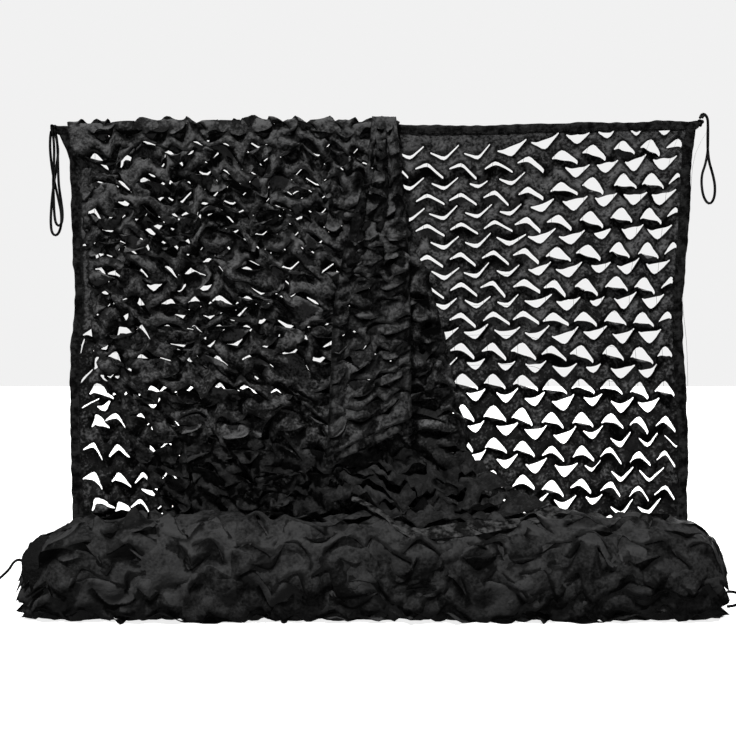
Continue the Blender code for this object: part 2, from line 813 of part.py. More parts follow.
def build_flap_hem(material):
    edges = []
    for place in steps(0.0, FLAP_WIDTH, 0.015):
        share = place / FLAP_WIDTH
        end = flap_end(share)
        inner = flap_point(share, end + 5 * GAP)
        outer = flap_point(share, end + HEM)
        edges.append((inner, outer, facing(flap_point, share, end)))
    return strip_solid("flap_hem", edges, TAPE_THICK, material)


DRAPE_HEM_START = 0.65


def build_drape_hem(material):
    edges = []
    for place in FRONT_PLACES:
        share = place / FRONT_WIDTH
        if share < DRAPE_HEM_START:
            continue
        end = front_end(share)
        inner = front_point(share, end)
        outer = front_point(share, FRONT_LENGTH)
        inner += (outer - inner).normalized() * 4 * GAP
        edges.append((inner, outer, facing(front_point, share, end)))
    return strip_solid("drape_hem", edges, TAPE_THICK, material)


# ---------------------------------------------------------------- the corner cords

CORD_LEFT_LONG = (
    (-0.7790, -0.0050, -0.0180),
    (-0.7815, -0.0050, -0.0320),
    (-0.7820, -0.0050, -0.0600),
    (-0.7790, -0.0050, -0.0950),
    (-0.7735, -0.0050, -0.1300),
    (-0.7670, -0.0050, -0.1600),
    (-0.7610, -0.0050, -0.1870),
    (-0.7560, -0.0050, -0.2130),
    (-0.7555, -0.0050, -0.2400),
    (-0.7610, -0.0050, -0.2610),
    (-0.7700, -0.0050, -0.2680),
    (-0.7780, -0.0045, -0.2590),
    (-0.7810, -0.0030, -0.2350),
    (-0.7805, 0.0000, -0.2000),
    (-0.7785, 0.0040, -0.1650),
    (-0.7740, 0.0050, -0.1300),
    (-0.7690, 0.0050, -0.0950),
    (-0.7660, 0.0050, -0.0650),
    (-0.7690, 0.0055, -0.0400),
    (-0.7740, 0.0055, -0.0180),
)
CORD_LEFT_SHORT = (
    (-0.7770, -0.0120, -0.0120),
    (-0.7730, -0.0120, -0.0300),
    (-0.7705, -0.0120, -0.0600),
    (-0.7710, -0.0120, -0.1000),
    (-0.7725, -0.0120, -0.1400),
    (-0.7715, -0.0120, -0.1800),
    (-0.7700, -0.0120, -0.2150),
    (-0.7665, -0.0120, -0.2380),
    (-0.7590, -0.0120, -0.2460),
    (-0.7520, -0.0120, -0.2370),
    (-0.7505, -0.0120, -0.2150),
    (-0.7540, -0.0120, -0.1850),
    (-0.7590, -0.0120, -0.1500),
    (-0.7610, -0.0120, -0.1100),
    (-0.7620, -0.0120, -0.0700),
    (-0.7640, -0.0120, -0.0400),
    (-0.7695, -0.0120, -0.0150),
)
CORD_RIGHT = (
    (0.7800, -0.0050, 0.0130),
    (0.7840, -0.0050, 0.0190),
    (0.7900, -0.0050, 0.0180),
    (0.7935, -0.0050, 0.0080),
    (0.7940, -0.0050, -0.0080),
    (0.7935, -0.0050, -0.0350),
    (0.7940, -0.0050, -0.0650),
    (0.7975, -0.0050, -0.0930),
    (0.8050, -0.0050, -0.1200),
    (0.8105, -0.0050, -0.1480),
    (0.8095, -0.0050, -0.1740),
    (0.8020, -0.0050, -0.1900),
    (0.7925, -0.0040, -0.1890),
    (0.7845, -0.0010, -0.1720),
    (0.7815, 0.0030, -0.1450),
    (0.7835, 0.0050, -0.1200),
    (0.7910, 0.0050, -0.0950),
    (0.7965, 0.0050, -0.0650),
    (0.7975, 0.0050, -0.0350),
    (0.7975, 0.0050, -0.0050),
    (0.7960, 0.0050, 0.0130),
    (0.7900, 0.0050, 0.0240),
    (0.7825, 0.0050, 0.0240),
    (0.7775, 0.0040, 0.0145),
)
CORD_ROLL_RIGHT = (
    (0.7600, -0.2480, -1.0720),
    (0.7740, -0.2440, -1.0730),
    (0.7880, -0.2380, -1.0790),
    (0.7960, -0.2350, -1.0885),
    (0.7900, -0.2370, -1.0980),
    (0.7760, -0.2430, -1.1030),
    (0.7600, -0.2480, -1.1040),
)
CORD_ROLL_LEFT = (
    (-0.7880, -0.1860, -1.0165),
    (-0.8000, -0.1880, -1.0130),
    (-0.8100, -0.1900, -1.0200),
    (-0.8190, -0.1920, -1.0340),
    (-0.8330, -0.1940, -1.0480),
    (-0.8500, -0.1950, -1.0630),
    (-0.8660, -0.1950, -1.0830),
    (-0.8790, -0.1940, -1.1070),
    (-0.8910, -0.1920, -1.1290),
    (-0.9060, -0.1890, -1.1400),
    (-0.9250, -0.1840, -1.1425),
)


def smooth_route(route):
    """Points every CORD_STEP along a smooth curve through a route's points."""
    ends = [2 * Vector(route[0]) - Vector(route[1])]
    ends += [Vector(p) for p in route]
    ends += [2 * Vector(route[-1]) - Vector(route[-2])]
    fine = []
    for a, b, c, d in zip(ends, ends[1:], ends[2:], ends[3:]):
        for k in range(16):
            q = k / 16
            fine.append(
                (b * 2 + (c - a) * q + (a * 2 - b * 5 + c * 4 - d) * q * q
                 + (b * 3 - a - c * 3 + d) * q**3) / 2
            )
    fine.append(ends[-2])
    lengths = [0.0]
    for a, b in zip(fine, fine[1:]):
        lengths.append(lengths[-1] + (b - a).length)
    points = []
    for wanted in steps(0.0, lengths[-1], CORD_STEP):
        i = min(len(fine) - 2, max(k for k in range(len(fine)) if lengths[k] <= wanted + 1e-9))
        q = (wanted - lengths[i]) / (lengths[i + 1] - lengths[i])
        points.append(fine[i].lerp(fine[i + 1], q))
    return points


def build_cord(name, route, material):
    """A round cord along a route, as a tube with closed ends."""
    points = smooth_route(route)
    curve = bpy.data.curves.new(name, "CURVE")
    curve.dimensions = "3D"
    curve.bevel_depth = CORD / 2
    curve.bevel_resolution = 2
    curve.use_fill_caps = True
    line = curve.splines.new("POLY")
    line.points.add(len(points) - 1)
    for place, point in zip(line.points, points):
        place.co = (*point, 1.0)
    return add_object(name, curve, material)


def build_knot(name, centre, material):
    """A small lumpy knot of cord at a corner of the net."""
    shape = bmesh.new()
    bmesh.ops.create_icosphere(shape, subdivisions=2, radius=KNOT)
    for vertex in shape.verts:
        level = vertex.co.z / KNOT
        lump = 1.0 - 0.16 * math.cos(4.5 * level) ** 2 * (1 - level**2)
        vertex.co = Vector(centre) + vertex.co * lump
    mesh = bpy.data.meshes.new(name)
    shape.to_mesh(mesh)
    shape.free()
    mesh.shade_smooth()
    return add_object(name, mesh, material)


KNOT_LEFT = (-0.7757, 0.0, -0.0090)
KNOT_RIGHT = (0.7777, 0.0, 0.0030)


def main():
    for body in list(bpy.data.objects):
        bpy.data.objects.remove(body, do_unlink=True)
    dark = (0.012, 0.012, 0.012)
    build_hung_net(plain_material("hung_cloth", dark, 0.75))
    build_front_net(plain_material("front_cloth", dark, 0.75))
    build_centre_flap(plain_material("flap_cloth", dark, 0.72))
    build_roll(plain_material("rolled_cloth", dark, 0.78))
    build_top_tape(plain_material("top_tape", dark, 0.65))
    build_side_tape("binding_left", 0.0, -1, plain_material("left_tape", dark, 0.65))
    build_side_tape("binding_right", 1.0, 1, plain_material("right_tape", dark, 0.65))
    build_flap_hem(plain_material("flap_tape", dark, 0.65))
    build_drape_hem(plain_material("drape_tape", dark, 0.65))
    build_cord("cord_left_long", CORD_LEFT_LONG, plain_material("left_cord", dark, 0.6))
    build_cord("cord_left_short", CORD_LEFT_SHORT, plain_material("left_short_cord", dark, 0.6))
    build_cord("cord_right", CORD_RIGHT, plain_material("right_cord", dark, 0.6))
    build_cord("cord_roll_right", CORD_ROLL_RIGHT, plain_material("roll_right_cord", dark, 0.6))
    build_cord("cord_roll_left", CORD_ROLL_LEFT, plain_material("roll_left_cord", dark, 0.6))
    build_knot("knot_left", KNOT_LEFT, plain_material("left_knot", dark, 0.6))
    build_knot("knot_right", KNOT_RIGHT, plain_material("right_knot", dark, 0.6))


main()
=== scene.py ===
# %% [markdown]
# # A leaf-cut camouflage net, hung up and partly rolled
#
# The real thing is one long length of thin black cloth, 1.5 m wide. A machine cuts rows of chevrons in it,
# and when the cloth is pulled open each chevron frees a leaf that curls out of the plane. A mesh of thin
# string carries the cloth, folded tape binds its edges, and thin cords are tied to its corners. In this
# scene the net hangs by its top edge. A loose layer is thrown over the left half, the gathered end hangs
# in front of the middle, and the rest lies rolled on the floor.
#
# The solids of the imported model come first, because each piece here is fitted to one of them.

# %% Load the frame
import math
from collections import namedtuple

import bpy
import numpy as np
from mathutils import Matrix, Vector
from mathutils.geometry import delaunay_2d_cdt
from mathutils.kdtree import KDTree
from numpy.linalg import norm


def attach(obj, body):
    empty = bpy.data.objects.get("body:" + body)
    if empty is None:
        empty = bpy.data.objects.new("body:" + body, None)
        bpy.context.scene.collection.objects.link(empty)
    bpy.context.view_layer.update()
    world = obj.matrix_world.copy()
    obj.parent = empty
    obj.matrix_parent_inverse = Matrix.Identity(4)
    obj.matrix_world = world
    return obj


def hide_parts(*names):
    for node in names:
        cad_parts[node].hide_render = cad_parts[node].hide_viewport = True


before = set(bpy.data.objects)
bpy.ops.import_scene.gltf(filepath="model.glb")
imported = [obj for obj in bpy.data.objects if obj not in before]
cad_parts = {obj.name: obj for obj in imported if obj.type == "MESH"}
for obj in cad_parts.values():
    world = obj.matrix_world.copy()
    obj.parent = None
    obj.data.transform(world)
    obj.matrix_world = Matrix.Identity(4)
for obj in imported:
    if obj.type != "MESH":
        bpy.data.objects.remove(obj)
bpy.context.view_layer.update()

# %% [markdown]
# ## The camera
#
# The net is seen straight on from 2.6 m, with the eye a little below the middle of its height. A level
# camera keeps upright edges upright. The lens is worked out from the focal length in pixels of a square
# picture of 736 pixels, so nothing has to be fitted by eye later.

# %% Camera
PICTURE = 736
FOCAL_PIXELS = 1083.0
SENSOR = 36.0
EYE = (-0.0204, -2.6, -0.586)

camera = bpy.data.cameras.new("camera")
camera.sensor_width = SENSOR
camera.lens = SENSOR * FOCAL_PIXELS / PICTURE
viewer = bpy.data.objects.new("camera", camera)
viewer.location = EYE
viewer.rotation_euler = (math.radians(90), 0, 0)
bpy.context.scene.collection.objects.link(viewer)
bpy.context.scene.camera = viewer
print("lens:", round(camera.lens, 2), "mm")

# %% [markdown]
# ## Writing materials as sums
#
# A Blender material is a graph of nodes. Long graphs are easier to read as sums, so a small class wraps
# one output of a node, and plus, minus and times on it add Math nodes. Every other node comes from one
# method that takes the node's type, its settings and its sockets.


# %% A signal, and a finish


class Signal:
    """One output of a node. Sums with it add Math nodes."""

    def __init__(self, finish, socket):
        self.finish, self.socket = finish, socket

    def math(self, operation, *values):
        return self.finish.add("ShaderNodeMath", {"operation": operation}, dict(enumerate(values)))

    def __add__(self, other):
        return self.math("ADD", self, other)

    def __sub__(self, other):
        return self.math("SUBTRACT", self, other)

    def __rsub__(self, other):
        return self.math("SUBTRACT", other, self)

    def __mul__(self, other):
        return self.math("MULTIPLY", self, other)

    __radd__ = __add__
    __rmul__ = __mul__

    def sine(self):
        return self.math("SINE", self)

    def clear_below(self, low, high):
        """0 below low, 1 above high, and a soft step between."""
        sockets = {"Value": self, "From Min": low, "From Max": high}
        return self.finish.add("ShaderNodeMapRange", {"interpolation_type": "SMOOTHSTEP"}, sockets)


class Finish:
    """A material of the net, written one node at a time."""

    def __init__(self, name, roughness):
        self.material = bpy.data.materials.new(name)
        self.material.use_nodes = True
        self.tree = self.material.node_tree
        self.shader = self.tree.nodes["Principled BSDF"]
        self.put("Roughness", roughness)

    def add(self, kind, settings, sockets, output=0):
        node = self.tree.nodes.new(kind)
        for name, value in settings.items():
            setattr(node, name, value)
        for name, value in sockets.items():
            self.join(node.inputs[name], value)
        return Signal(self, node.outputs[output])

    def join(self, socket, value):
        if isinstance(value, Signal):
            self.tree.links.new(value.socket, socket)
        else:
            socket.default_value = value

    def put(self, socket, value):
        self.join(self.shader.inputs[socket], value)

    def noise(self, scale, detail=3.0):
        place = self.add("ShaderNodeTexCoord", {}, {}, output="Object")
        return self.add("ShaderNodeTexNoise", {}, {"Vector": place, "Scale": scale, "Detail": detail})

    def attribute(self, name):
        return self.add("ShaderNodeAttribute", {"attribute_name": name}, {}, output="Fac")

    def bump(self, height, strength, distance):
        sockets = {"Height": height, "Strength": strength, "Distance": distance}
        self.put("Normal", self.add("ShaderNodeBump", {}, sockets))

    def shade(self, amount, dark, light):
        """A colour between two greys."""
        colours = {"A": (*dark, 1.0), "B": (*light, 1.0), "Factor": amount}
        node = self.tree.nodes.new("ShaderNodeMix")
        node.data_type = "RGBA"
        for name, value in colours.items():
            socket = next(s for s in node.inputs if s.name == name and s.enabled)
            self.join(socket, value)
        return Signal(self, next(s for s in node.outputs if s.enabled))


print("a finish has", len(Finish("trial", 0.5).tree.nodes), "nodes before anything is added")
bpy.data.materials.remove(bpy.data.materials["trial"])

# %% [markdown]
# ## The cloth's finish
#
# The cloth is a thin black oxford weave with a coating. From two steps away it isn't even: the dye varies
# softly, flat facets lie between small puckers, each leaf takes the light in its own way, and the cut edges
# look dark. On the real cloth most of that is shape, but far too fine to model. So the finish mixes it as
# tone, in shares: the dye and the fine grain are the cloth's own tone, while the facets, the puckers and
# each leaf's tone are painted light and shade, and the dark cut edges are painted shade. It also paints
# shade lower down, where less light falls, and on the loose layer's lying foot, and painted light on the
# roll's lower front. The weave is two sine waves across each other in the cloth's own flat coordinates, so
# it follows every fold.


# %% Cloth
WEAVE = 0.0011
LEAF_LIGHT_SHARE = 0.24
FACET_SCALE = 19.0
EDGE_PAINTED_SHADE, FOOT_PAINTED_SHADE = 0.94, 0.80
NO_PAINTED_SHADING, NO_FOOT_SHADE = (0.0, 0.0, 1.0), 9.0


def grey(tone):
    return (tone, tone, tone * 1.01)


def cloth_finish(name, dark, light, patch, facet, painted_shading=NO_PAINTED_SHADING, relief=0.010, foot=NO_FOOT_SHADE):
    """patch and facet are shares. The next argument is painted shade: how much darker, from where and to
    where, and painted light where it is negative. foot is where the painted shade on the lying foot is
    darkest.
    """
    finish = Finish(name, 0.6)
    flat = finish.add("ShaderNodeUVMap", {"uv_map": "flat"}, {})
    across, down = (finish.add("ShaderNodeSeparateXYZ", {}, {"Vector": flat}, output=k) for k in (0, 1))
    weave = (across * (2 * math.pi / WEAVE)).sine() * (down * (2 * math.pi / WEAVE)).sine()
    dye, grain, pucker = finish.noise(9.0), finish.noise(150.0), finish.noise(42.0, 4.0)
    place = finish.add("ShaderNodeTexCoord", {}, {}, output="Object")
    # The Voronoi cells give flat patches of tone: painted light and shade of small facets turned to the
    # light or away from it.
    cell = finish.add("ShaderNodeTexVoronoi", {}, {"Vector": place, "Scale": FACET_SCALE}, output=1)
    fine = 1 - patch - facet
    # The puckers' share of tone is their painted shade, on top of their bump; dye and grain are the cloth's
    # own tone.
    tone = dye * patch + (cell * 0.36 + 0.31) * facet + pucker * (0.46 * fine) + grain * (0.54 * fine)
    # Each leaf's own share of tone is painted light: how that leaf would catch the light.
    tone = tone + (finish.attribute("leaf_tone") - 0.5) * LEAF_LIGHT_SHARE
    # Painted shade, darker lower down where less light falls; a negative share paints light instead.
    tone = (tone - painted_shading[0] * down.clear_below(*painted_shading[1:])).clear_below(0.40, 0.59)
    # Painted shade along the cut edges and along the sheet's outer edges.
    tone = tone * (1 - EDGE_PAINTED_SHADE * finish.attribute("cut_edge").clear_below(0.12, 0.68))
    # Painted shade on the lying foot, darkest at foot.
    tone = tone * (1 - FOOT_PAINTED_SHADE * down.clear_below(foot - 0.1, foot))
    finish.put("Base Color", finish.shade(tone, grey(dark), grey(light)))
    finish.put("Roughness", 0.50 + 0.22 * grain)
    finish.bump(pucker + grain * 0.25 + weave * 0.01, 0.9, relief)
    finish.put("Specular IOR Level", 0.09)
    finish.put("Sheen Weight", 0.03)
    finish.put("Sheen Roughness", 0.45)
    return finish.material


# It is all one cloth, but each layer gets its own pair of greys, lighter or darker by how light falls on
# it: lit and shaded copies, as painted light and painted shade.
HUNG_CLOTH = cloth_finish("hung_cloth", 0.003, 0.104, 0.22, 0.0, (0.080, 0.15, 0.80))
# The loose layer's lying foot gets painted shade.
FRONT_CLOTH = cloth_finish("front_cloth", 0.006, 0.108, 0.16, 0.20, (0.040, 0.20, 0.80), foot=0.83)
FLAP_CLOTH = cloth_finish("flap_cloth", 0.008, 0.088, 0.16, 0.20, (0.015, 0.20, 0.80))
# On the roll the share is negative: painted light on its lower front and underside.
ROLLED_CLOTH = cloth_finish("rolled_cloth", 0.002, 0.036, 0.20, 0.36, (-0.03, 0.28, 0.42), 0.005)
WOUND_CLOTH = cloth_finish("wound_cloth", 0.002, 0.016, 0.24, 0.30)
CLOTHS = (HUNG_CLOTH, FRONT_CLOTH, FLAP_CLOTH, ROLLED_CLOTH, WOUND_CLOTH)
print("cloth finishes:", [cloth.name for cloth in CLOTHS])

# %% [markdown]
# ## Tape, thread and cord
#
# The tape is a denser weave than the cloth, folded over its edge and sewn down. The hems' tape is a lighter
# copy of it, as painted light. Cord, thread and string get a finer grain. One finish with different numbers
# does for all of them.


# %% Tape, thread, cord and string
TRIM_DARK, TRIM_LIGHT = 0.15, 4.6
TAPE_GRAIN, CORD_GRAIN, THREAD_GRAIN = 110.0, 700.0, 900.0


def trim_finish(name, tone, roughness, grain_scale, depth):
    finish = Finish(name, roughness)
    grain, soft = finish.noise(grain_scale, 4.0), finish.noise(45.0)
    amount = (grain * 0.4 + soft * 0.6).clear_below(0.42, 0.62)
    finish.put("Base Color", finish.shade(amount, [TRIM_DARK * tone] * 3, [TRIM_LIGHT * tone] * 3))
    finish.put("Roughness", roughness - 0.08 + 0.16 * grain)
    finish.bump(grain * 0.4 + soft, 0.5, depth)
    finish.put("Specular IOR Level", 0.07)
    return finish.material


TAPE_FINISH = trim_finish("folded_tape", 0.0048, 0.62, TAPE_GRAIN, 0.012)
# The hems' tape is a lighter copy of the tape's finish, as painted light.
LIT_HEM_FINISH = trim_finish("painted_lighter_hem_tape", 0.0130, 0.62, TAPE_GRAIN, 0.012)
THREAD_FINISH = trim_finish("thread", 0.012, 0.50, THREAD_GRAIN, 0.0004)
CORD_FINISH = trim_finish("braided_cord", 0.004, 0.60, CORD_GRAIN, 0.0008)
STRING_FINISH = trim_finish("string", 0.012, 0.60, THREAD_GRAIN, 0.0003)
print("grain scales of tape, cord and thread:", TAPE_GRAIN, CORD_GRAIN, THREAD_GRAIN)

# %% [markdown]
# ## The corner cords
#
# Thin braided cords are tied to the corners of the net, for tying it to a pole or a rail. Two hang in long
# loops at the top left, one at the top right, and two short ones show at the roll's ends. Each is a curve
# with a round bevel along the same route as its solid, made smooth by the same rule, so it stays where the
# model says. It is a little thicker than the solid. A loop leaves its knot and comes back to it, so its far
# end is the object. Only the short cord at the roll's left has a bare end, which lies on the floor. The
# points of the routes are in tenths of a millimetre.

# %% Cords
CORD = 0.0062
CORD_STEP = 0.0099
CordPlan = namedtuple("CordPlan", "node far_end lay route")
CORD_PLANS = (
    CordPlan("cord_left_long", "object", "hanging", (
        (-7790, -50, -180), (-7815, -50, -320), (-7820, -50, -600), (-7790, -50, -950),
        (-7735, -50, -1300), (-7670, -50, -1600), (-7610, -50, -1870), (-7560, -50, -2130),
        (-7555, -50, -2400), (-7610, -50, -2610), (-7700, -50, -2680), (-7780, -45, -2590),
        (-7810, -30, -2350), (-7805, 0, -2000), (-7785, 40, -1650), (-7740, 50, -1300),
        (-7690, 50, -950), (-7660, 50, -650), (-7690, 55, -400), (-7740, 55, -180),
    )),
    CordPlan("cord_left_short", "object", "hanging", (
        (-7770, -120, -120), (-7730, -120, -300), (-7705, -120, -600), (-7710, -120, -1000),
        (-7725, -120, -1400), (-7715, -120, -1800), (-7700, -120, -2150), (-7665, -120, -2380),
        (-7590, -120, -2460), (-7520, -120, -2370), (-7505, -120, -2150), (-7540, -120, -1850),
        (-7590, -120, -1500), (-7610, -120, -1100), (-7620, -120, -700), (-7640, -120, -400),
        (-7695, -120, -150),
    )),
    CordPlan("cord_right", "object", "hanging", (
        (7800, -50, 130), (7840, -50, 190), (7900, -50, 180), (7935, -50, 80), (7940, -50, -80),
        (7935, -50, -350), (7940, -50, -650), (7975, -50, -930), (8050, -50, -1200),
        (8105, -50, -1480), (8095, -50, -1740), (8020, -50, -1900), (7925, -40, -1890),
        (7845, -10, -1720), (7815, 30, -1450), (7835, 50, -1200), (7910, 50, -950), (7965, 50, -650),
        (7975, 50, -350), (7975, 50, -50), (7960, 50, 130), (7900, 50, 240), (7825, 50, 240),
        (7775, 40, 145),
    )),
    CordPlan("cord_roll_right", "object", "loose", (
        (7600, -2480, -10720), (7740, -2440, -10730), (7880, -2380, -10790), (7960, -2350, -10885),
        (7900, -2370, -10980), (7760, -2430, -11030), (7600, -2480, -11040),
    )),
    CordPlan("cord_roll_left", "bare", "loose", (
        (-7880, -1860, -10165), (-8000, -1880, -10130), (-8100, -1900, -10200),
        (-8190, -1920, -10340), (-8330, -1940, -10480), (-8500, -1950, -10630),
        (-8660, -1950, -10830), (-8790, -1940, -11070), (-8910, -1920, -11290),
        (-9060, -1890, -11400), (-9250, -1840, -11425),
    )),
)


def smooth_route(route, step):
    """Points at even steps along a smooth curve through a route's points, and the curve's length."""
    ends = [2 * Vector(route[0]) - Vector(route[1])]
    ends += [Vector(p) for p in route]
    ends += [2 * Vector(route[-1]) - Vector(route[-2])]
    fine = []
    for a, b, c, d in zip(ends, ends[1:], ends[2:], ends[3:]):
        for k in range(16):
            q = k / 16
            bend = (a * 2 - b * 5 + c * 4 - d) * q * q + (b * 3 - a - c * 3 + d) * q**3
            fine.append((b * 2 + (c - a) * q + bend) / 2)
    fine.append(ends[-2])
    lengths = [0.0]
    for a, b in zip(fine, fine[1:]):
        lengths.append(lengths[-1] + (b - a).length)
    count = max(1, round(lengths[-1] / step))
    places = np.linspace(0.0, lengths[-1], count + 1)
    axes = [np.interp(places, lengths, [p[k] for p in fine]) for k in range(3)]
    return list(zip(*axes)), lengths[-1]


def add_piece(name, data, material):
    """An object of the net: it rides on the net's one body and takes its finish from a slot."""
    piece = bpy.data.objects.new(name, data)
    piece.data.materials.append(material)
    bpy.context.scene.collection.objects.link(piece)
    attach(piece, "root")
    return piece


def round_curve(name, points, diameter, sides):
    """A curve through points with a round bevel and closed ends."""
    curve = bpy.data.curves.new(name, "CURVE")
    curve.dimensions = "3D"
    curve.bevel_depth = diameter / 2
    curve.bevel_resolution = sides
    curve.use_fill_caps = True
    line = curve.splines.new("POLY")
    line.points.add(len(points) - 1)
    for place, point in zip(line.points, points):
        place.co = (*point, 1.0)
    return curve


for plan in CORD_PLANS:
    route = [tuple(v / 10000 for v in point) for point in plan.route]
    points, length = smooth_route(route, CORD_STEP / 2)
    curve = round_curve("braided_" + plan.node, points, CORD, 3)
    braid = add_piece("braided_" + plan.node, curve, CORD_FINISH)
    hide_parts(plan.node)
    print(plan.node, "is", round(length, 3), "m long")

# %% [markdown]
# A knot is the same cord, wound tight. A trefoil is the shape of an overhand knot pulled together, and a
# short curve draws it.

# %% Knots
KNOTS = {"knot_left": (-0.7757, 0.0, -0.0090), "knot_right": (0.7777, 0.0, 0.0030)}
KNOT_REACH = 0.0025


def knot_point(centre, turn):
    x = math.sin(turn) + 2 * math.sin(2 * turn)
    z = math.cos(turn) - 2 * math.cos(2 * turn)
    y = -math.sin(3 * turn)
    return tuple(c + KNOT_REACH * v * k for c, v, k in zip(centre, (x, y, z), (0.8, 1.2, 1.0)))


for node, centre in KNOTS.items():
    loop = [knot_point(centre, 2 * math.pi * k / 60) for k in range(61)]
    knot = add_piece("tied_" + node, round_curve("tied_" + node, loop, CORD * 0.85, 2), CORD_FINISH)
    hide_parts(node)
print("knots:", len(KNOTS))

# %% [markdown]
# ## The shapes in which the cloth hangs
#
# The model's solids give each layer a smooth shape: how far in or out every place of the cloth stands.
# The same named sizes and short tables are repeated here, written for whole arrays of places at once, so
# that thousands of leaves can be laid on each layer.


# %% Sizes, tables and how to read them


def table(columns, *rows):
    row = namedtuple("Row", columns)
    return [row(*values) for values in rows]


FLOOR = -1.145
TAPE = 0.025
TOP_TAPE = 0.022
ROLL_Y = -0.155
ROLL_SETTLE = 0.006
ROLL_CLEAR = 0.005
HANG = 1.0
TUCK = 0.185
TUCK_TURN = math.radians(80)
TUCK_DEPTH = 0.10
TUCK_HEIGHT = 0.138
HEM = 0.024
HUNG_EDGES = table(
    "drop left right",
    (0.000, -0.768, 0.770), (0.075, -0.741, 0.759), (0.183, -0.737, 0.752), (0.327, -0.731, 0.743),
    (0.423, -0.727, 0.736), (0.543, -0.738, 0.736), (0.663, -0.738, 0.743), (0.807, -0.736, 0.748),
    (0.951, -0.729, 0.743), (1.200, -0.732, 0.740),
)
TOP_LINE = table(
    "across height",
    (-0.78, -0.005), (-0.40, 0.000), (0.00, 0.000), (0.20, -0.004), (0.40, 0.001), (0.78, 0.008),
)
FRONT_EDGES = table(
    "drop left right",
    (0.000, -0.742, 0.052), (0.187, -0.713, 0.067), (0.306, -0.697, 0.091), (0.401, -0.687, 0.127),
    (0.591, -0.659, 0.174), (0.672, -0.614, 0.194), (0.757, -0.595, 0.212), (0.880, -0.538, 0.241),
)
FRONT_FOOT = table(
    "share across depth height",
    (0.00, -0.480, -0.046, -0.972), (0.34, -0.280, -0.046, -0.975), (0.56, -0.130, -0.060, -0.955),
    (0.66, -0.058, -0.108, -0.892), (0.715, 0.008, -0.175, -0.917), (0.765, 0.071, -0.234, -0.956),
    (0.84, 0.178, -0.234, -0.956), (0.92, 0.295, -0.214, -0.942), (0.965, 0.381, -0.186, -0.930),
    (1.00, 0.446, -0.142, -0.914),
)
FLAP_EDGES = table(
    "drop left right forward",
    (0.000, -0.010, 0.046, 0.016), (0.147, -0.026, 0.058, 0.040), (0.287, -0.062, 0.072, 0.052),
    (0.427, -0.095, 0.078, 0.058), (0.661, -0.109, 0.081, 0.064), (0.900, -0.121, 0.084, 0.070),
)
ROLL_PROFILE = table(
    "across height",
    (-0.800, 0.090), (-0.783, 0.134), (-0.750, 0.172), (-0.700, 0.209), (-0.600, 0.218), (0.000, 0.218),
    (0.640, 0.218), (0.700, 0.213), (0.740, 0.190), (0.770, 0.146), (0.786, 0.100),
)


def smooth(x):
    """0 below 0, 1 above 1, and a soft step between."""
    x = np.clip(x, 0.0, 1.0)
    return x * x * (3 - 2 * x)


def rise(x, start, over):
    return smooth((x - start) / over)


def fall(x, end, over):
    return smooth((end - x) / over)


def read_table(rows, column, at):
    """A column of a table at values of its first column, with soft bends at the rows."""
    keys = np.array([row[0] for row in rows])
    values = np.array([getattr(row, column) for row in rows])
    slopes = np.diff(values) / np.diff(keys)
    bends = np.concatenate([slopes[:1], (slopes[:-1] + slopes[1:]) / 2, slopes[-1:]])
    at = np.clip(at, keys[0], keys[-1])
    i = np.clip(np.searchsorted(keys, at, side="right") - 1, 0, len(keys) - 2)
    width = keys[i + 1] - keys[i]
    q = (at - keys[i]) / width
    start = values[i] * (1 + 2 * q) * (1 - q) ** 2 + bends[i] * width * q * (1 - q) ** 2
    end = values[i + 1] * q * q * (3 - 2 * q) + bends[i + 1] * width * q * q * (q - 1)
    return start + end


def top_height(across):
    return read_table(TOP_LINE, "height", across)


def stack(x, y, z):
    return np.stack(np.broadcast_arrays(x, y, z), axis=-1).astype(float)


print("half-way down the hung layer is", round(float(np.ptp([
    read_table(HUNG_EDGES, side, HANG / 2) for side in ("left", "right")])), 3), "m wide")

# %% [markdown]
# The hung layer is nearly flat, with broad folds that fade towards the taut top. Its foot is tucked in
# behind the roll. The loose layer and the gathered end fold over the top edge, and then hang in front.


# %% The hung layer's surface


def hung_wave(across, drop):
    """How far the hung cloth stands behind its own plane."""
    broad = 0.009 * np.sin(2 * np.pi * (across / 0.95 + 0.10))
    narrow = 0.005 * np.sin(2 * np.pi * (across / 0.37 + drop / 1.8))
    return (broad + narrow) * smooth(drop / 0.30)


def hung_surface(share, drop):
    """The hung layer: straight down, then tucked in towards the roll's foot."""
    left = read_table(HUNG_EDGES, "left", drop) + TAPE
    right = read_table(HUNG_EDGES, "right", drop) - TAPE
    across = left + (right - left) * share
    turn = np.maximum(0.0, drop - HANG) / TUCK * TUCK_TURN
    depth = hung_wave(across, drop) * np.cos(turn) - TUCK_DEPTH * (1 - np.cos(turn))
    below = np.where(drop <= HANG, drop, HANG + TUCK_HEIGHT * np.sin(turn))
    return stack(across, depth, top_height(across) * np.cos(turn) - below)


def over_the_top(drop, radius):
    """Cloth thrown over the top edge: how far forward, and how far below the edge."""
    turn = drop / radius
    bent = np.abs(turn) < np.pi / 2
    round_edge = radius * np.sin(np.clip(turn, -np.pi / 2, np.pi / 2))
    forward = np.where(bent, round_edge, np.copysign(radius, drop))
    below = np.where(bent, -radius * np.cos(turn), np.abs(drop) - radius * np.pi / 2)
    return forward, below


FRONT_BULGE = -0.20
PRESSED = 0.80
ABOVE_FLOOR = 0.0008


def pressed(depth):
    """Presses what bulges at the very front and back flatter, so the cloth keeps to the solids' depth."""
    front = np.minimum(depth - FRONT_BULGE, 0.0)
    back = np.maximum(depth, 0.0)
    return depth - (1.0 - PRESSED) * (front + back)


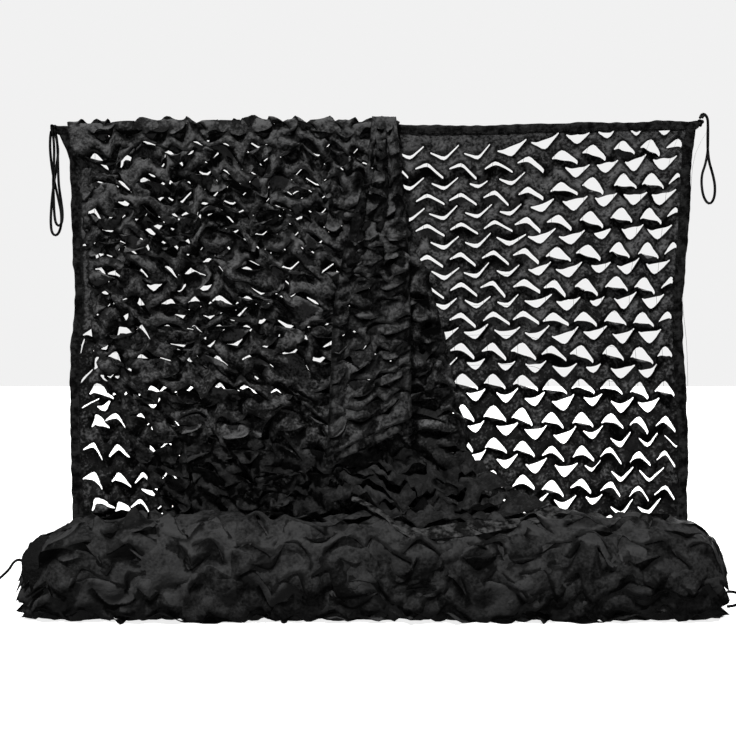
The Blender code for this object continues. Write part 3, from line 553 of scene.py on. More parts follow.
def roll_surface(across, turn):
    """The roll's skin at places along it and round it."""
    half = read_table(ROLL_PROFILE, "height", across) / 2
    wound = 1.0 - 0.045 * turn / (2 * np.pi)
    twist = 0.022 * np.sin(3 * turn + 9.0 * across) + 0.020 * np.sin(5 * turn - 14.0 * across + 1.3)
    radius = half * (wound + twist)
    depth = ROLL_Y + radius * 1.04 * np.cos(turn)
    height = FLOOR + half - ROLL_SETTLE + radius * 1.03 * np.sin(turn)
    return stack(across, depth, np.maximum(height, FLOOR))


def clear_of_roll(points):
    """Moves points out to just above the roll's skin where they would be inside the roll."""
    middle_height = FLOOR + read_table(ROLL_PROFILE, "height", points[:, 0]) / 2 - ROLL_SETTLE
    middle = stack(points[:, 0], ROLL_Y, middle_height)
    away = points - middle
    turn = np.arctan2(away[:, 2], away[:, 1]) % (2 * np.pi)
    least = norm(roll_surface(points[:, 0], turn) - middle, axis=1) + ROLL_CLEAR
    long = norm(away, axis=1)
    return np.where((long < least)[:, None], middle + away * (least / long)[:, None], points)


foot = hung_surface(np.array([0.5]), np.array([HANG + TUCK]))[0]
print("the hung layer's foot is at", [round(float(v), 3) for v in foot])

# %% [markdown]
# The loose layer hangs in low folds, with one round pleat at its right. Its foot is a smooth curve between
# where it hangs and where it lies on the roll, kept out of the roll.

# %% The loose layer's surface
FRONT_FOLD = 0.008
FRONT_HANG = 0.80
FRONT_RETURN = 0.05
FRONT_LENGTH = 1.0
PLEAT_SHARE = 0.86
PLEAT_WIDTH = 0.110
STREAKS = 0.30
LIFT_START = 0.58


def front_across(share, drop):
    """Where a place of the loose layer hangs; its right-hand pleat keeps its width."""
    left = read_table(FRONT_EDGES, "left", drop)
    pleat = read_table(FRONT_EDGES, "right", drop) - PLEAT_WIDTH
    inner = left + (pleat - left) * share / PLEAT_SHARE
    outer = pleat + PLEAT_WIDTH * (share - PLEAT_SHARE) / (1 - PLEAT_SHARE)
    return np.where(share < PLEAT_SHARE, inner, outer)


def front_hanging(share, drop):
    """The loose layer where it hangs: low folds, and one round pleat at its right-hand side."""
    across = front_across(share, drop)
    forward, below = over_the_top(drop, FRONT_FOLD)
    fold = 0.005 + 0.006 * np.sin(2 * np.pi * (across / 0.31 + drop / 2.2))
    fold += 0.004 * np.sin(2 * np.pi * (across / 0.17 - drop / 0.9))
    streak = np.sin(np.pi * share / STREAKS) * np.cos(6 * np.pi * share / STREAKS) * (share < STREAKS)
    turn = np.clip(np.pi * (share - PLEAT_SHARE) / (1 - PLEAT_SHARE), 0.0, np.pi)
    forward = forward + smooth(drop / 0.25) * fold + 0.007 * rise(drop, 0.40, 0.25) * streak
    forward = forward + 0.034 * rise(drop, 0.12, 0.35) * np.sin(turn)
    return stack(across, hung_wave(across, np.maximum(drop, 0.0)) - forward, top_height(across) - below)


def front_surface(share, drop):
    """The loose layer: over the top edge, down, and forward over the roll at its lower right."""
    hanging = front_hanging(share, np.minimum(drop, FRONT_HANG))
    end = stack(*(read_table(FRONT_FOOT, name, share) for name in ("across", "depth", "height")))
    middle = (hanging + end) / 2
    lift = smooth((share - LIFT_START) / 0.12)
    middle[:, 0] -= 0.30 * rise(share, 0.70, 0.20) * (end[:, 0] - hanging[:, 0])
    middle[:, 2] += lift * (end[:, 2] + 0.030 - middle[:, 2])
    q = np.maximum(0.0, drop - FRONT_HANG) / (FRONT_LENGTH - FRONT_HANG)
    r = q[:, None]
    lying = hanging * (1 - r) ** 2 + middle * 2 * r * (1 - r) + end * r * r
    lying[:, 2] += lift * 0.008 * np.sin(np.pi * q) * np.sin(2 * np.pi * share / 0.24)
    return np.where((drop <= FRONT_HANG)[:, None], hanging, clear_of_roll(lying))


foot = front_surface(np.array([0.9]), np.array([FRONT_LENGTH]))[0]
print("the loose layer lies on the roll at", [round(float(v), 3) for v in foot])

# %% [markdown]
# The gathered end is narrow over the top edge and wider below, in three round pleats. Its foot is drawn to
# the slanted line of its hem.

# %% The gathered end's surface
FLAP_FOLD = 0.016
FLAP_RETURN = 0.045
FLAP_LEFT_DROP = 0.820
FLAP_RIGHT_DROP = 0.722
FLAP_LEVEL = 0.30


def flap_surface(share, drop):
    """The gathered end: narrow over the top edge, then wider, in three round pleats."""
    left = read_table(FLAP_EDGES, "left", drop)
    right = read_table(FLAP_EDGES, "right", drop)
    across = left + (right - left) * share
    forward, below = over_the_top(drop, FLAP_FOLD)
    hanging = read_table(FLAP_EDGES, "forward", drop) - FLAP_FOLD
    hanging = hanging + 0.011 * smooth(drop / 0.2) * np.cos(2 * np.pi * 2.5 * share)
    return stack(across, -(forward + np.where(drop > 0, hanging, 0.0)), top_height(across) - below)


def flap_cloth(share, drop):
    """The gathered end with its foot on the slanted line of its hem."""
    end = FLAP_LEFT_DROP + (FLAP_RIGHT_DROP - FLAP_LEFT_DROP) * share
    drawn = FLAP_LEVEL + (drop - FLAP_LEVEL) * (end - FLAP_LEVEL) / (FLAP_LEFT_DROP - FLAP_LEVEL)
    return flap_surface(share, np.where(drop > FLAP_LEVEL, drawn, drop))


def facing(surface, share, drop, step=0.002):
    """Which way a surface faces, away from what is behind it."""
    across = surface(share + step, drop) - surface(share - step, drop)
    down = surface(share, drop + step) - surface(share, drop - step)
    normal = np.cross(down, across)
    return normal / norm(normal, axis=1)[:, None]


foot = flap_cloth(np.array([0.5]), np.array([FLAP_LEFT_DROP]))[0]
print("the gathered end's foot is at", [round(float(v), 3) for v in foot])

# %% [markdown]
# ## One leaf
#
# A chevron cut has a lower lip, which runs from one tip round the point to the other tip, and an upper
# lip, which is the edge of the leaf that the cut frees. The leaf is joined to the cloth only along the
# line between the two tips, so it bends about that line, out of the cloth. A bend of a few degrees leaves
# a thin slit, and a bend past a right angle leaves the whole opening clear. That is all that it takes to
# get the net's look: one rule, and a different bend for each leaf.


# %% A leaf and its lips
Arms = namedtuple("Arms", "left left_rise right right_rise")
TIP_GAP, BLUNT_TIP = 0.0036, 0.0085
SOFT_CORNER, SLIT_ROUND = 0.009, 0.0012
BOW_SHARES = (0.0, 0.55, 0.9, 1.0, 0.6, 0.2, 0.6, 1.0, 0.9, 0.55, 0.0)
ROWS_DOWN_A_LEAF = (0.0, 0.0028, 0.0065, 0.011, 0.016, 0.021)
ALONG_A_LEAF = 0.007
LEAST_BEND, MOST_BEND = 0.02, 2.95


class Leaf:
    """One chevron cut, in the cloth's flat coordinates (across, down), and how its leaf is bent."""

    def __init__(self, point, points_down, arms, slit, bend, reach, side, twist, tilt=0.0, bow=0.0):
        up = -1.0 if points_down else 1.0
        turn = np.array(((math.cos(tilt), -math.sin(tilt)), (math.sin(tilt), math.cos(tilt))))
        self.up = turn @ (0.0, up)
        self.point = np.array(point)
        self.left = self.point + turn @ (-arms.left, up * arms.left_rise)
        self.right = self.point + turn @ (arms.right, up * arms.right_rise)
        self.slit, self.bend, self.reach = slit, bend, reach
        self.side, self.twist = side, twist
        self.low = self.lip(self.left, self.point, self.right, bow)
        tips = (TIP_GAP, TIP_GAP if points_down else BLUNT_TIP)
        notch = self.point + self.up * slit + turn @ (0.0015, 0.0)
        self.ends = [q + self.up * min(tip, slit * 0.6) for q, tip in zip((self.left, self.right), tips)]
        self.high = self.lip(self.ends[0], notch, self.ends[1])
        way = self.ends[1] - self.ends[0]
        self.way = way / norm(way)
        self.out = np.array((-self.way[1], self.way[0]))
        if self.out @ self.up > 0:
            self.out = -self.out
        self.long = norm(way)
        self.height = float((notch - self.ends[0]) @ self.out)

    @staticmethod
    def lip(a, p, b, bow=0.0):
        """From a to b round a soft corner at p; bow rounds both arms outward."""
        before, after = (p + (q - p) * min(0.45, SOFT_CORNER / norm(q - p)) for q in (a, b))
        points = [a + (before - a) * k / 4 for k in range(4)]
        points += [before, before * 0.25 + p * 0.5 + after * 0.25, after]
        points += [after + (b - after) * k / 4 for k in range(1, 5)]
        if bow:
            out = p - (a + b) / 2
            out /= norm(out)
            points = [q + out * bow * share for q, share in zip(points, BOW_SHARES)]
        return points

    def slit_outline(self):
        """The slit as a closed polygon: lower lip, round end, upper lip, round end."""
        right = (self.right + self.ends[1]) / 2 + self.way * SLIT_ROUND
        left = (self.left + self.ends[0]) / 2 - self.way * SLIT_ROUND
        return self.low + [right] + self.high[::-1] + [left]

    def inner_points(self):
        """Flat places inside the leaf, in rows along the line about which it bends."""
        found = []
        for down in ROWS_DOWN_A_LEAF:
            if down > self.height - 0.003:
                break
            share = 1 - down / self.height
            count = max(1, round(self.long * share / ALONG_A_LEAF))
            notch = (self.high[5] - self.ends[0]) @ self.way
            start = notch * (1 - share)
            for k in range(count + 1):
                along = start + self.long * share * k / count
                inset = 0.004 if down else 0.0
                along = min(max(along, start + inset), start + self.long * share - inset)
                found.append(self.ends[0] + self.way * along + self.out * down)
        return found

    def bent(self, points):
        """Flat places of the leaf after the bend: where they are in the cloth's plane, and how far out."""
        across = (points - self.ends[0]) @ self.way
        down = (points - self.ends[0]) @ self.out
        lean = 1 + self.twist * (across / self.long - 0.5) * 2
        bend = np.clip(self.bend * lean, LEAST_BEND, MOST_BEND)
        radius = self.reach / bend
        turn = np.clip(down / self.reach, 0.0, 1.0) * bend
        rest = np.maximum(0.0, down - self.reach)
        within = radius * np.sin(turn) + rest * np.cos(bend)
        outward = radius * (1 - np.cos(turn)) + rest * np.sin(bend)
        within = np.where(down > 0, within, down)
        moved = self.ends[0] + np.outer(across, self.way) + within[:, None] * self.out
        return moved, self.side * np.where(down > 0, outward, 0.0)

    def rim(self):
        """Places round the whole leaf, for keeping leaves apart."""
        corners = (self.left, self.point, self.right, self.ends[1], self.ends[0])
        pairs = zip(corners, corners[1:] + corners[:1])
        return np.concatenate([a + np.outer(np.linspace(0, 1, 9)[:-1], b - a) for a, b in pairs])


def bend_for(height, reach, wanted):
    """The bend that leaves this much of a leaf's height in the cloth's plane, found by halving."""
    low, high = 0.05, 2.9
    for _ in range(18):
        bend = (low + high) / 2
        left = reach / bend * math.sin(bend) + (height - reach) * math.cos(bend)
        low, high = (bend, high) if left > wanted else (low, bend)
    return low


degrees = round(math.degrees(bend_for(0.022, 0.01, 0.010)))
print("a leaf 22 mm high shows 10 mm when it bends", degrees, "degrees")

# %% [markdown]
# ## From flat cloth to a hung sheet
#
# The sheet is made flat first. Its outline, the slits and a loose grid of points go into a constrained
# triangulation, which fills the cloth and leaves the slits open. Then each leaf is bent, every point is
# carried to its place on the layer's surface, and soft ripples move it in or out. A ripple is a sum of a
# few sine waves in different directions, so it never repeats in a visible way.


# %% Ripples


def vary(a, b):
    """A fixed share from 0 to 1 for a pair of numbers, uneven from one pair to the next."""
    value = math.sin(12.9898 * a + 78.233 * b + 3.1) * 43758.5453
    return value - math.floor(value)


def ripple(x, y, size, seed):
    """A soft, uneven wave over a flat sheet, mostly between -1 and 1."""
    picks = np.random.default_rng(seed)
    total = np.zeros(np.shape(x))
    for _ in range(6):
        way = picks.uniform(0, 2 * np.pi)
        wave = size * picks.uniform(0.7, 1.5)
        total = total + np.sin(2 * np.pi * (x * np.cos(way) + y * np.sin(way)) / wave + picks.uniform(0, 7))
    return total / 2.6


def crease(x, y, size, seed):
    """Like a ripple, but with narrow ridges and broad hollows."""
    return 1 - 2 * np.abs(ripple(x, y, size, seed))


def rippled(x, y, *waves):
    """Ripples of different depths and sizes together; each wave is (depth, size, seed)."""
    return sum(depth * ripple(x, y, size, seed) for depth, size, seed in waves)


print("a ripple's heights 2 cm apart:", ripple(np.arange(0.30, 0.40, 0.02), 0.4, 0.1, 1).round(2))

# %% [markdown]
# Three notes go with every point of the flat sheet: which leaf it is on, of which leaf's cut it is on the
# lower lip, and whether it is on a cut edge. The finish reads the last one, for painted shade along the cut
# edges, and a tone for each leaf, which is painted light.


# %% A sheet with leaves
LEAF_GAP = 0.0030
LEAF_SIZES = (1.0, 0.95, 0.9, 0.85, 0.78, 0.70, 0.6)


def even(low, high, step):
    return np.linspace(low, high, max(1, round((high - low) / step)) + 1)


def outline_of(left, right, top, foot, step, teeth):
    """A rectangle's outline with points at even steps; teeth moves its side points out and in."""
    across, down = even(left, right, step), even(top, foot, step)
    points = [(x, top) for x in across]
    points += [(right, d) for d in down[1:]]
    points += [(x, foot) for x in across[-2::-1]]
    points += [(left, d) for d in down[-2:0:-1]]
    return [np.array(p) + teeth(np.array(p)) for p in points]


def keep_apart(makers):
    """Leaves that don't touch: each maker makes a leaf at a given size, and a smaller one where it must."""
    kept, rims = [], []
    for maker in makers:
        for size in LEAF_SIZES:
            leaf = maker(size)
            if leaf is None:
                break
            rim = leaf.rim()
            near = [r for k, r in zip(kept, rims) if np.abs(k.point - leaf.point).max() < 0.11]
            if near:
                others = np.concatenate(near)
                gap = ((rim[:, None, :] - others[None, :, :]) ** 2).sum(axis=2).min()
                if gap < LEAF_GAP**2:
                    continue
            kept.append(leaf)
            rims.append(rim)
            break
    return kept


def no_teeth(point):
    return np.zeros(2)


def flat_cloth(outline, leaves, spacing, seed):
    """The flat sheet: its points, three notes for each of them, and its triangles."""
    points, owner, lower, rim = [], [], [], []

    def note(new, owners, lowers, edge):
        points.extend(new)
        owner.extend(owners)
        lower.extend(lowers)
        rim.extend([edge] * len(new))

    note(outline, [-1] * len(outline), [-1] * len(outline), 1.0)
    edges = [(i, (i + 1) % len(outline)) for i in range(len(outline))]
    faces = []
    for number, leaf in enumerate(leaves):
        slit = leaf.slit_outline()
        on_leaf = [False] * (len(leaf.low) + 1) + [True] * len(leaf.high) + [False]
        turning = sum(a[0] * b[1] - b[0] * a[1] for a, b in zip(slit, slit[1:] + slit[:1]))
        order = range(len(slit)) if turning > 0 else range(len(slit) - 1, -1, -1)
        faces.append([len(points) + i for i in range(len(slit))])
        lowers = [number if 1 < i < len(leaf.low) - 2 else -1 for i in order]
        note([slit[i] for i in order], [number if on_leaf[i] else -1 for i in order], lowers, 1.0)
        inner = leaf.inner_points()
        note(inner, [number] * len(inner), [-1] * len(inner), 0.0)
    low, high = np.min(outline, axis=0), np.max(outline, axis=0)
    columns, rows = (even(low[k], high[k], spacing) for k in (0, 1))
    grid = np.array([(x, d) for x in columns for d in rows])
    grid += np.random.default_rng(seed).uniform(-0.25, 0.25, grid.shape) * spacing
    inside = (grid > low + 0.4 * spacing).all(axis=1) & (grid < high - 0.4 * spacing).all(axis=1)
    taken = KDTree(len(points))
    for i, point in enumerate(points):
        taken.insert((*point, 0.0), i)
    taken.balance()
    clear = np.array([taken.find((*place, 0.0))[2] > 0.55 * spacing for place in grid])
    for leaf in leaves:
        corners = (leaf.left, leaf.point, leaf.right)
        sides = [np.cross(b - a, grid - a) for a, b in zip(corners, corners[1:] + corners[:1])]
        clear &= ~((np.min(sides, axis=0) > 0) | (np.max(sides, axis=0) < 0))
    extra = list(grid[inside & clear])
    note(extra, [-1] * len(extra), [-1] * len(extra), 0.0)
    result = delaunay_2d_cdt([Vector(p) for p in points], edges, faces, 0, 1e-7)
    triangles = np.array([f for f, source in zip(result[2], result[5]) if not source])
    places = np.array([tuple(v) for v in result[0]])
    triangles = triangles[inside_outline(places[triangles].mean(axis=1), np.array(outline))]
    notes = []
    for kind, none in ((owner, -1), (lower, -1), (rim, 0.0)):
        notes.append(np.array([max((kind[i] for i in came), default=none) for came in result[3]]))
    return places, *notes, triangles


def inside_outline(places, outline):
    """Which places are inside a closed outline, by how often a line to their right crosses it."""
    crossings = np.zeros(len(places), int)
    for a, b in zip(outline, np.roll(outline, -1, axis=0)):
        if a[1] != b[1]:
            spans = (a[1] > places[:, 1]) != (b[1] > places[:, 1])
            at = a[0] + (places[:, 1] - a[1]) / (b[1] - a[1]) * (b[0] - a[0])
            crossings += spans & (places[:, 0] < at)
    return crossings % 2 == 1


def stay(places):
    return places


def mesh_piece(name, vertices, faces, material, flat=None):
    """A smooth piece of the net; flat gives each vertex its place on the flat cloth."""
    mesh = bpy.data.meshes.new(name)
    mesh.from_pydata(np.asarray(vertices).tolist(), [], faces)
    if flat is not None:
        corner = np.zeros(len(mesh.loops), np.int32)
        mesh.loops.foreach_get("vertex_index", corner)
        mesh.uv_layers.new(name="flat").data.foreach_set("uv", flat[corner].astype(np.float32).ravel())
    mesh.shade_smooth()
    return add_piece(name, mesh, material)


def hang_cloth(
    name, outline, leaves, spacing, seed, surface, width, relief, material, flare=0.002, shift=stay
):
    """Cuts a flat sheet, bends its leaves, lays it on a surface and makes its mesh."""
    points, owners, lowers, rims, triangles = flat_cloth(outline, leaves, spacing, seed)
    places, outward = points.copy(), np.zeros(len(points))
    for number, leaf in enumerate(leaves):
        mine = np.nonzero(owners == number)[0]
        if len(mine):
            places[mine], outward[mine] = leaf.bent(points[mine])
        outward[lowers == number] -= leaf.side * flare
    places = shift(places)
    share, drop = places[:, 0] / width, places[:, 1]
    outward = outward + relief(points[:, 0], points[:, 1])
    base = surface(share, drop) + facing(surface, share, drop) * outward[:, None]
    base[:, 1] = pressed(base[:, 1])
    base[:, 2] = np.maximum(base[:, 2], FLOOR + ABOVE_FLOOR)
    used = np.unique(triangles)
    number = np.full(len(points), -1)
    number[used] = np.arange(len(used))
    triangles = number[triangles]
    piece = mesh_piece(name, base[used], triangles[:, ::-1].tolist(), material, points[used])
    # Each leaf gets a painted light of its own; points off the leaves stay at the middle, so they are not
    # changed.
    painted_leaf_lights = np.array([0.5 if owner < 0 else vary(owner, len(leaves)) for owner in owners])
    for attribute, values in (("cut_edge", rims), ("leaf_tone", painted_leaf_lights)):
        layer = piece.data.attributes.new(attribute, "FLOAT", "POINT")
        layer.data.foreach_set("value", values[used].astype(np.float32))
    area = round(sum(p.area for p in piece.data.polygons), 2)
    print(name, "has", len(leaves), "leaves,", len(triangles), "triangles and", area, "square metres")
    return piece


trial = flat_cloth(outline_of(0.0, 0.1, 0.0, 0.1, 0.02, no_teeth), [], 0.02, 1)
print("a plain flat sheet of 10 by 10 cm has", len(trial[-1]), "triangles")

# %% [markdown]
# ## Where the cuts are
#
# On the hung layer the rows of cuts were measured as short tables: how far down the first row is, how far
# apart the rows are, and how they spread towards the right. Towards the side and the foot the net is
# pulled longer and narrower, and the leaves stand wider open. These are the same rules as in the model,
# where the larger openings are cut through the solid.

# %% The rows of cuts
ROW_FITS = table(
    "across first pitch growth",
    (-0.320, 0.0575, 0.0697, 0.0000), (-0.080, 0.0850, 0.0720, 0.0000), (0.080, 0.0850, 0.0735, 0.0002),
    (0.165, 0.0850, 0.0710, 0.0002), (0.325, 0.0775, 0.0703, 0.0005), (0.400, 0.0640, 0.0740, 0.0004),
    (0.474, 0.0530, 0.0800, 0.0000), (0.540, 0.0420, 0.0810, -0.0001), (0.600, 0.0375, 0.0830, 0.0000),
)
POINTING_DOWN = Arms(0.032, 0.017, 0.033, 0.033)
POINTING_UP = Arms(0.026, 0.018, 0.038, 0.032)
PULLED_DOWN = Arms(0.024, 0.026, 0.030, 0.037)
PULLED_UP = Arms(0.023, 0.025, 0.025, 0.035)
BETWEEN = 0.004
PULLED_ASIDE = 0.0055
PULLED_HIGHER = 0.0020
BOW = 0.0022
THIN_GAPE = 0.0112
OPEN_GAPE = 0.044
WIDE_GAPE = 0.050
TAPE_CLEAR = 0.003
WIDE_OPENINGS = (  # whether it points down, its column and its row
    (True, 3, 0), (True, 7, 1), (True, 8, 1), (False, 6, 1), (False, 7, 1), (False, 5, 2), (False, 6, 2),
    (True, 6, 3), (True, 7, 3), (False, 4, 3), (False, 6, 3), (True, 4, 4), (True, 5, 5), (True, 8, 5),
    (False, 3, 6), (False, 1, 7), (False, 2, 7), (False, 2, 8), (False, 3, 8), (True, 8, 8),
)


def column_across(column):
    if column >= 0:
        return 0.0804 + 0.0835 * column - 0.00115 * column**2
    return 0.0804 + 0.0756 * column + 0.000815 * column**2


def row_drop(row, across):
    first, pitch, growth = (read_table(ROW_FITS, name, across) for name in ("first", "pitch", "growth"))
    return float(first + pitch * row + growth * row**2)


def slip(across, drop):
    """How far a column has slipped sideways: right near the top, and left near the foot."""
    return rise(across, 0.15, 0.4) * (0.014 - 0.036 * smooth(drop / 0.65))


def pull(across, drop):
    return float(smooth(0.9 * max((abs(across) - 0.30) / 0.30, (drop - 0.35) / 0.35)))


def openness(across, drop):
    return float(smooth(0.22 + 0.9 * max((abs(across) - 0.34) / 0.25, (drop - 0.46) / 0.25)))


def behind_loose_layer(across, drop):
    """1 low in the middle and behind the loose layer's pleat, where the cloth is slack and stays shut."""
    inside = read_table(FRONT_EDGES, "right", drop) + 0.01 - across
    low = rise(drop, 0.55, 0.12) * rise(across, -0.60, 0.15)
    pleat = rise(drop, 0.12, 0.05) * fall(inside, 0.17, 0.03)
    foot = rise(drop, 0.895, 0.02) * fall(across, 0.37, 0.03)
    foot = np.maximum(foot, rise(drop, 0.870, 0.012) * fall(across, 0.30, 0.02))
    return float(np.maximum(np.maximum(low, pleat) * smooth(inside / 0.03), foot * (across > -0.45)))


def tape_edge(side, drop):
    return float(read_table(HUNG_EDGES, side, drop)) + (TAPE if side == "left" else -TAPE)


apart = row_drop(6, 0.3) - row_drop(5, 0.3)
print("rows right of the middle are", round(1000 * apart, 1), "mm apart")

# %% [markdown]
# Every leaf starts as one of two shapes, one for each way a chevron points, and is pulled narrower and
# taller near the side and the foot. Then it gets the bend that leaves the wanted gap. That gap follows the
# solid's openings closely but not exactly, since each leaf's share is uneven. Leaves near the tape are cut
# short by it, and those behind the slack parts of the loose layer stay shut. Which way a leaf swings is
# uneven too, but most come forward.

# %% Leaves of the hung layer
HUNG_WIDTH = 1.45
HUNG_FOOT = HANG + TUCK
REACH = 0.009
COLUMNS = range(-12, 10)
ROWS = 16


def hung_leaf(points_down, column, row, size=1.0):
    """The leaf at one place of the hung layer, or None where the tape or the foot leaves no room."""
    seed = vary(2 * column + points_down, row)
    across = column_across(column)
    if not points_down:
        across = (across + column_across(column + 1)) / 2
    drop = row_drop(row, across) + (0.0 if points_down else BETWEEN)
    low, high = tape_edge("left", drop) + TAPE_CLEAR, tape_edge("right", drop) - TAPE_CLEAR
    if not points_down:
        across += PULLED_ASIDE * pull(across, drop)
        drop -= PULLED_HIGHER * pull(across, drop)
    across += float(slip(across, drop))
    if not low < across < high - TAPE_CLEAR or drop > HUNG_FOOT - 0.035:
        return None
    gape = THIN_GAPE + (OPEN_GAPE - THIN_GAPE) * openness(across, drop) * (0.30 + 0.78 * seed)
    if (points_down, column, row) in WIDE_OPENINGS:
        gape = WIDE_GAPE
    slack, pulled = (POINTING_DOWN, PULLED_DOWN) if points_down else (POINTING_UP, PULLED_UP)
    stretch = pull(across, drop)
    arms = Arms(*(size * (a + (b - a) * stretch) for a, b in zip(slack, pulled)))
    left = min(1.0, (across - low) / arms.left)
    right = min(1.0, (high - across) / arms.right)
    room = drop - TOP_TAPE - 0.002 if points_down else HUNG_FOOT - 0.004 - drop
    left, right = min(left, room / arms.left_rise), min(right, room / arms.right_rise)
    gape *= min(1.0, left + right - 0.6) * (1 - 0.95 * behind_loose_layer(across, drop))
    at_left = fall(across, -0.50, 0.08)
    upper = fall(drop, 0.35, 0.15)
    gape *= 1 - (0.42 + 0.20 * upper - 0.08 * at_left) * fall(across, 0.05, 0.05)
    gape *= 1 - 0.20 * upper * fall(across, 0.42, 0.15) * float(smooth(across / 0.05))
    lower = rise(drop, 0.50, 0.35) * (0.30 + 0.50 * rise(across, 0.40, 0.15))
    gape *= 1 + openness(across, drop) * (0.12 - lower)
    if gape < 0.0035:
        return None
    uneven = [0.90 + 0.20 * vary(column + 40 * k, row + 7 * points_down) for k in range(4)]
    shape = Arms(*(v * u for v, u in zip(arms, uneven)))
    shape = Arms(shape.left * left, shape.left_rise * left, shape.right * right, shape.right_rise * right)
    width = tape_edge("right", drop) - tape_edge("left", drop)
    jitter = [0.013 * at_left * (vary(column + 50 * k, row + 3 * points_down) - 0.5) for k in (1, 2)]
    place = ((across + jitter[0] - tape_edge("left", drop)) / width * HUNG_WIDTH, drop + jitter[1])
    slit = min(gape, 0.0115 + 0.0100 * vary(column + 9, row + 31 * points_down))
    forward = points_down != (vary(column, 3 * row + points_down) < 0.86)
    tilt = (vary(column + 17, row + 5 * points_down) - 0.5) * (0.20 + 0.80 * at_left)
    twist = 0.9 * (vary(column + 3, row + 11 * points_down) - 0.5)
    bow = BOW * stretch * min(1.0, gape / OPEN_GAPE)
    leaf = Leaf(place, points_down, shape, slit, 0.5, REACH, 1.0 if forward else -1.0, twist, tilt, bow)
    leaf.bend = bend_for(leaf.height, min(REACH, leaf.height), max(-0.02, leaf.height - (gape - slit)))
    return leaf


places = [(down, c, r) for c in COLUMNS for r in range(ROWS) for down in (True, False)]
hung_leaves = keep_apart([lambda size, place=place: hung_leaf(*place, size) for place in places])
UNDER_TAPE = 0.007
LOUVRE = 0.0105
ZIGZAG = 0.24


def louvre(across, down):
    """The bands between the zigzag rows of cuts tilt like slats: one faces up, and the next one down."""
    left, right = (read_table(HUNG_EDGES, side, down) for side in ("left", "right"))
    at = left + TAPE + (right - left - 2 * TAPE) * across / HUNG_WIDTH
    at = at - slip(at, down)
    column = np.interp(at, [column_across(c) for c in COLUMNS], list(COLUMNS))
    first, pitch, growth = (read_table(ROW_FITS, name, at) for name in ("first", "pitch", "growth"))
    row = (down - first) / pitch
    for _ in range(4):
        row = (down - first) / (pitch + growth * row)
    zigzag = ZIGZAG * np.cos(2 * np.pi * column)
    return LOUVRE * (0.75 + 0.35 * smooth(down / 0.6)) * np.sin(2 * np.pi * (row - zigzag))


def hung_relief(across, down):
    calm = rise(down, 0.03, 0.06) * smooth(across / 0.05) * fall(across, HUNG_WIDTH, 0.05)
    loose = rippled(across, down, (0.0035, 0.09, 3), (0.0022, 0.032, 4))
    return calm * (loose + louvre(across, down))


hung_outline = outline_of(
    -UNDER_TAPE, HUNG_WIDTH + UNDER_TAPE, TOP_TAPE - UNDER_TAPE, HUNG_FOOT, 0.014, no_teeth
)
hung_net = hang_cloth(
    "leafy_hung_net", hung_outline, hung_leaves, 0.011, 5, hung_surface, HUNG_WIDTH, hung_relief,
    HUNG_CLOTH, 0.0035
)
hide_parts("hung_net")

# %% [markdown]
# ## Slack cloth
#
# The layer over the left half is the same cloth, but slack, so its leaves stand up all over and hide most
# of the slits behind them. It has its own uneven grid of cuts in its own flat coordinates, so its columns
# lean with the cloth. Light still shows through wherever its slits happen to cross those of the layer
# behind. The gathered end and the roll are cut by the same rule.


# %% Leaves of slack cloth
SLIPPING = 0.012


def slack_leaves(width, top, foot, pitch, size, seed, wildness, margin=0.006, calm_from=9.0):
    """Leaves on an uneven grid over slack cloth, each turned and bent in its own way."""
    picks = np.random.default_rng(seed)
    makers = []
    for row in range(int((foot - top) / pitch[1]) + 2):
        for column in range(-1, int(width / pitch[0]) + 2):
            for points_down in (True, False):
                across = (column + (0.25 if points_down else 0.75)) * pitch[0]
                across += picks.uniform(-1, 1) * 0.007
                down = top + (row + 0.45) * pitch[1] + (0.0 if points_down else BETWEEN)
                down += picks.uniform(-1, 1) * 0.006
                facts = dict(
                    grow=picks.uniform(0.85, 1.15) * size,
                    bend=picks.uniform(0.25, 1.0) * wildness,
                    side=1.0 if picks.uniform() < 0.75 else -1.0,
                    slit=picks.uniform(0.002, 0.007),
                    twist=picks.uniform(-0.8, 0.8),
                    tilt=picks.uniform(-0.45, 0.45),
                )
                box = (margin, width - margin, top + margin, foot - margin)
                if down > calm_from:
                    facts["bend"] *= 0.6
                facts.update(place=(across, down), points_down=points_down, box=box)
                makers.append(lambda shrink, facts=facts: slack_leaf(shrink=shrink, **facts))
    return keep_apart(makers)


def slipped(places, calm, size, seeds):
    """Slack cloth also slips sideways and down, so its rows of leaves don't run straight."""
    slips = [SLIPPING * ripple(*places.T, size, seed) for seed in seeds]
    return places + np.stack(slips, axis=1) * calm[:, None]


def slats(across, down, top, pitch):
    """The tilt of slack cloth's bands between its zigzag rows of cuts."""
    column, row = across / pitch[0] - 0.25, (down - top) / pitch[1] - 0.45
    return np.sin(2 * np.pi * (row - ZIGZAG * np.cos(2 * np.pi * column)))


def slack_leaf(place, points_down, box, shrink, grow, bend, side, slit, twist, tilt):
    """One leaf of slack cloth, cut short at the sheet's edges, or None where there is no room."""
    arms = POINTING_DOWN if points_down else POINTING_UP
    across, down = place
    if not (box[0] + 0.008 < across < box[1] - 0.008 and box[2] < down < box[3]):
        return None
    left = min(1.0, (across - box[0]) / (arms.left * grow * shrink))
    right = min(1.0, (box[1] - across) / (arms.right * grow * shrink))
    room = (down - box[2] if points_down else box[3] - down) - 0.004
    if room < 0.014:
        return None
    tall = min(1.0, room / (1.15 * max(arms.left_rise, arms.right_rise) * grow * shrink))
    sizes = np.array((left, left * tall, right, right * tall)) * arms * grow * shrink
    tilt = tilt * min(left, right, tall)
    return Leaf(place, points_down, Arms(*sizes), slit, bend, 0.011, side, twist, tilt)


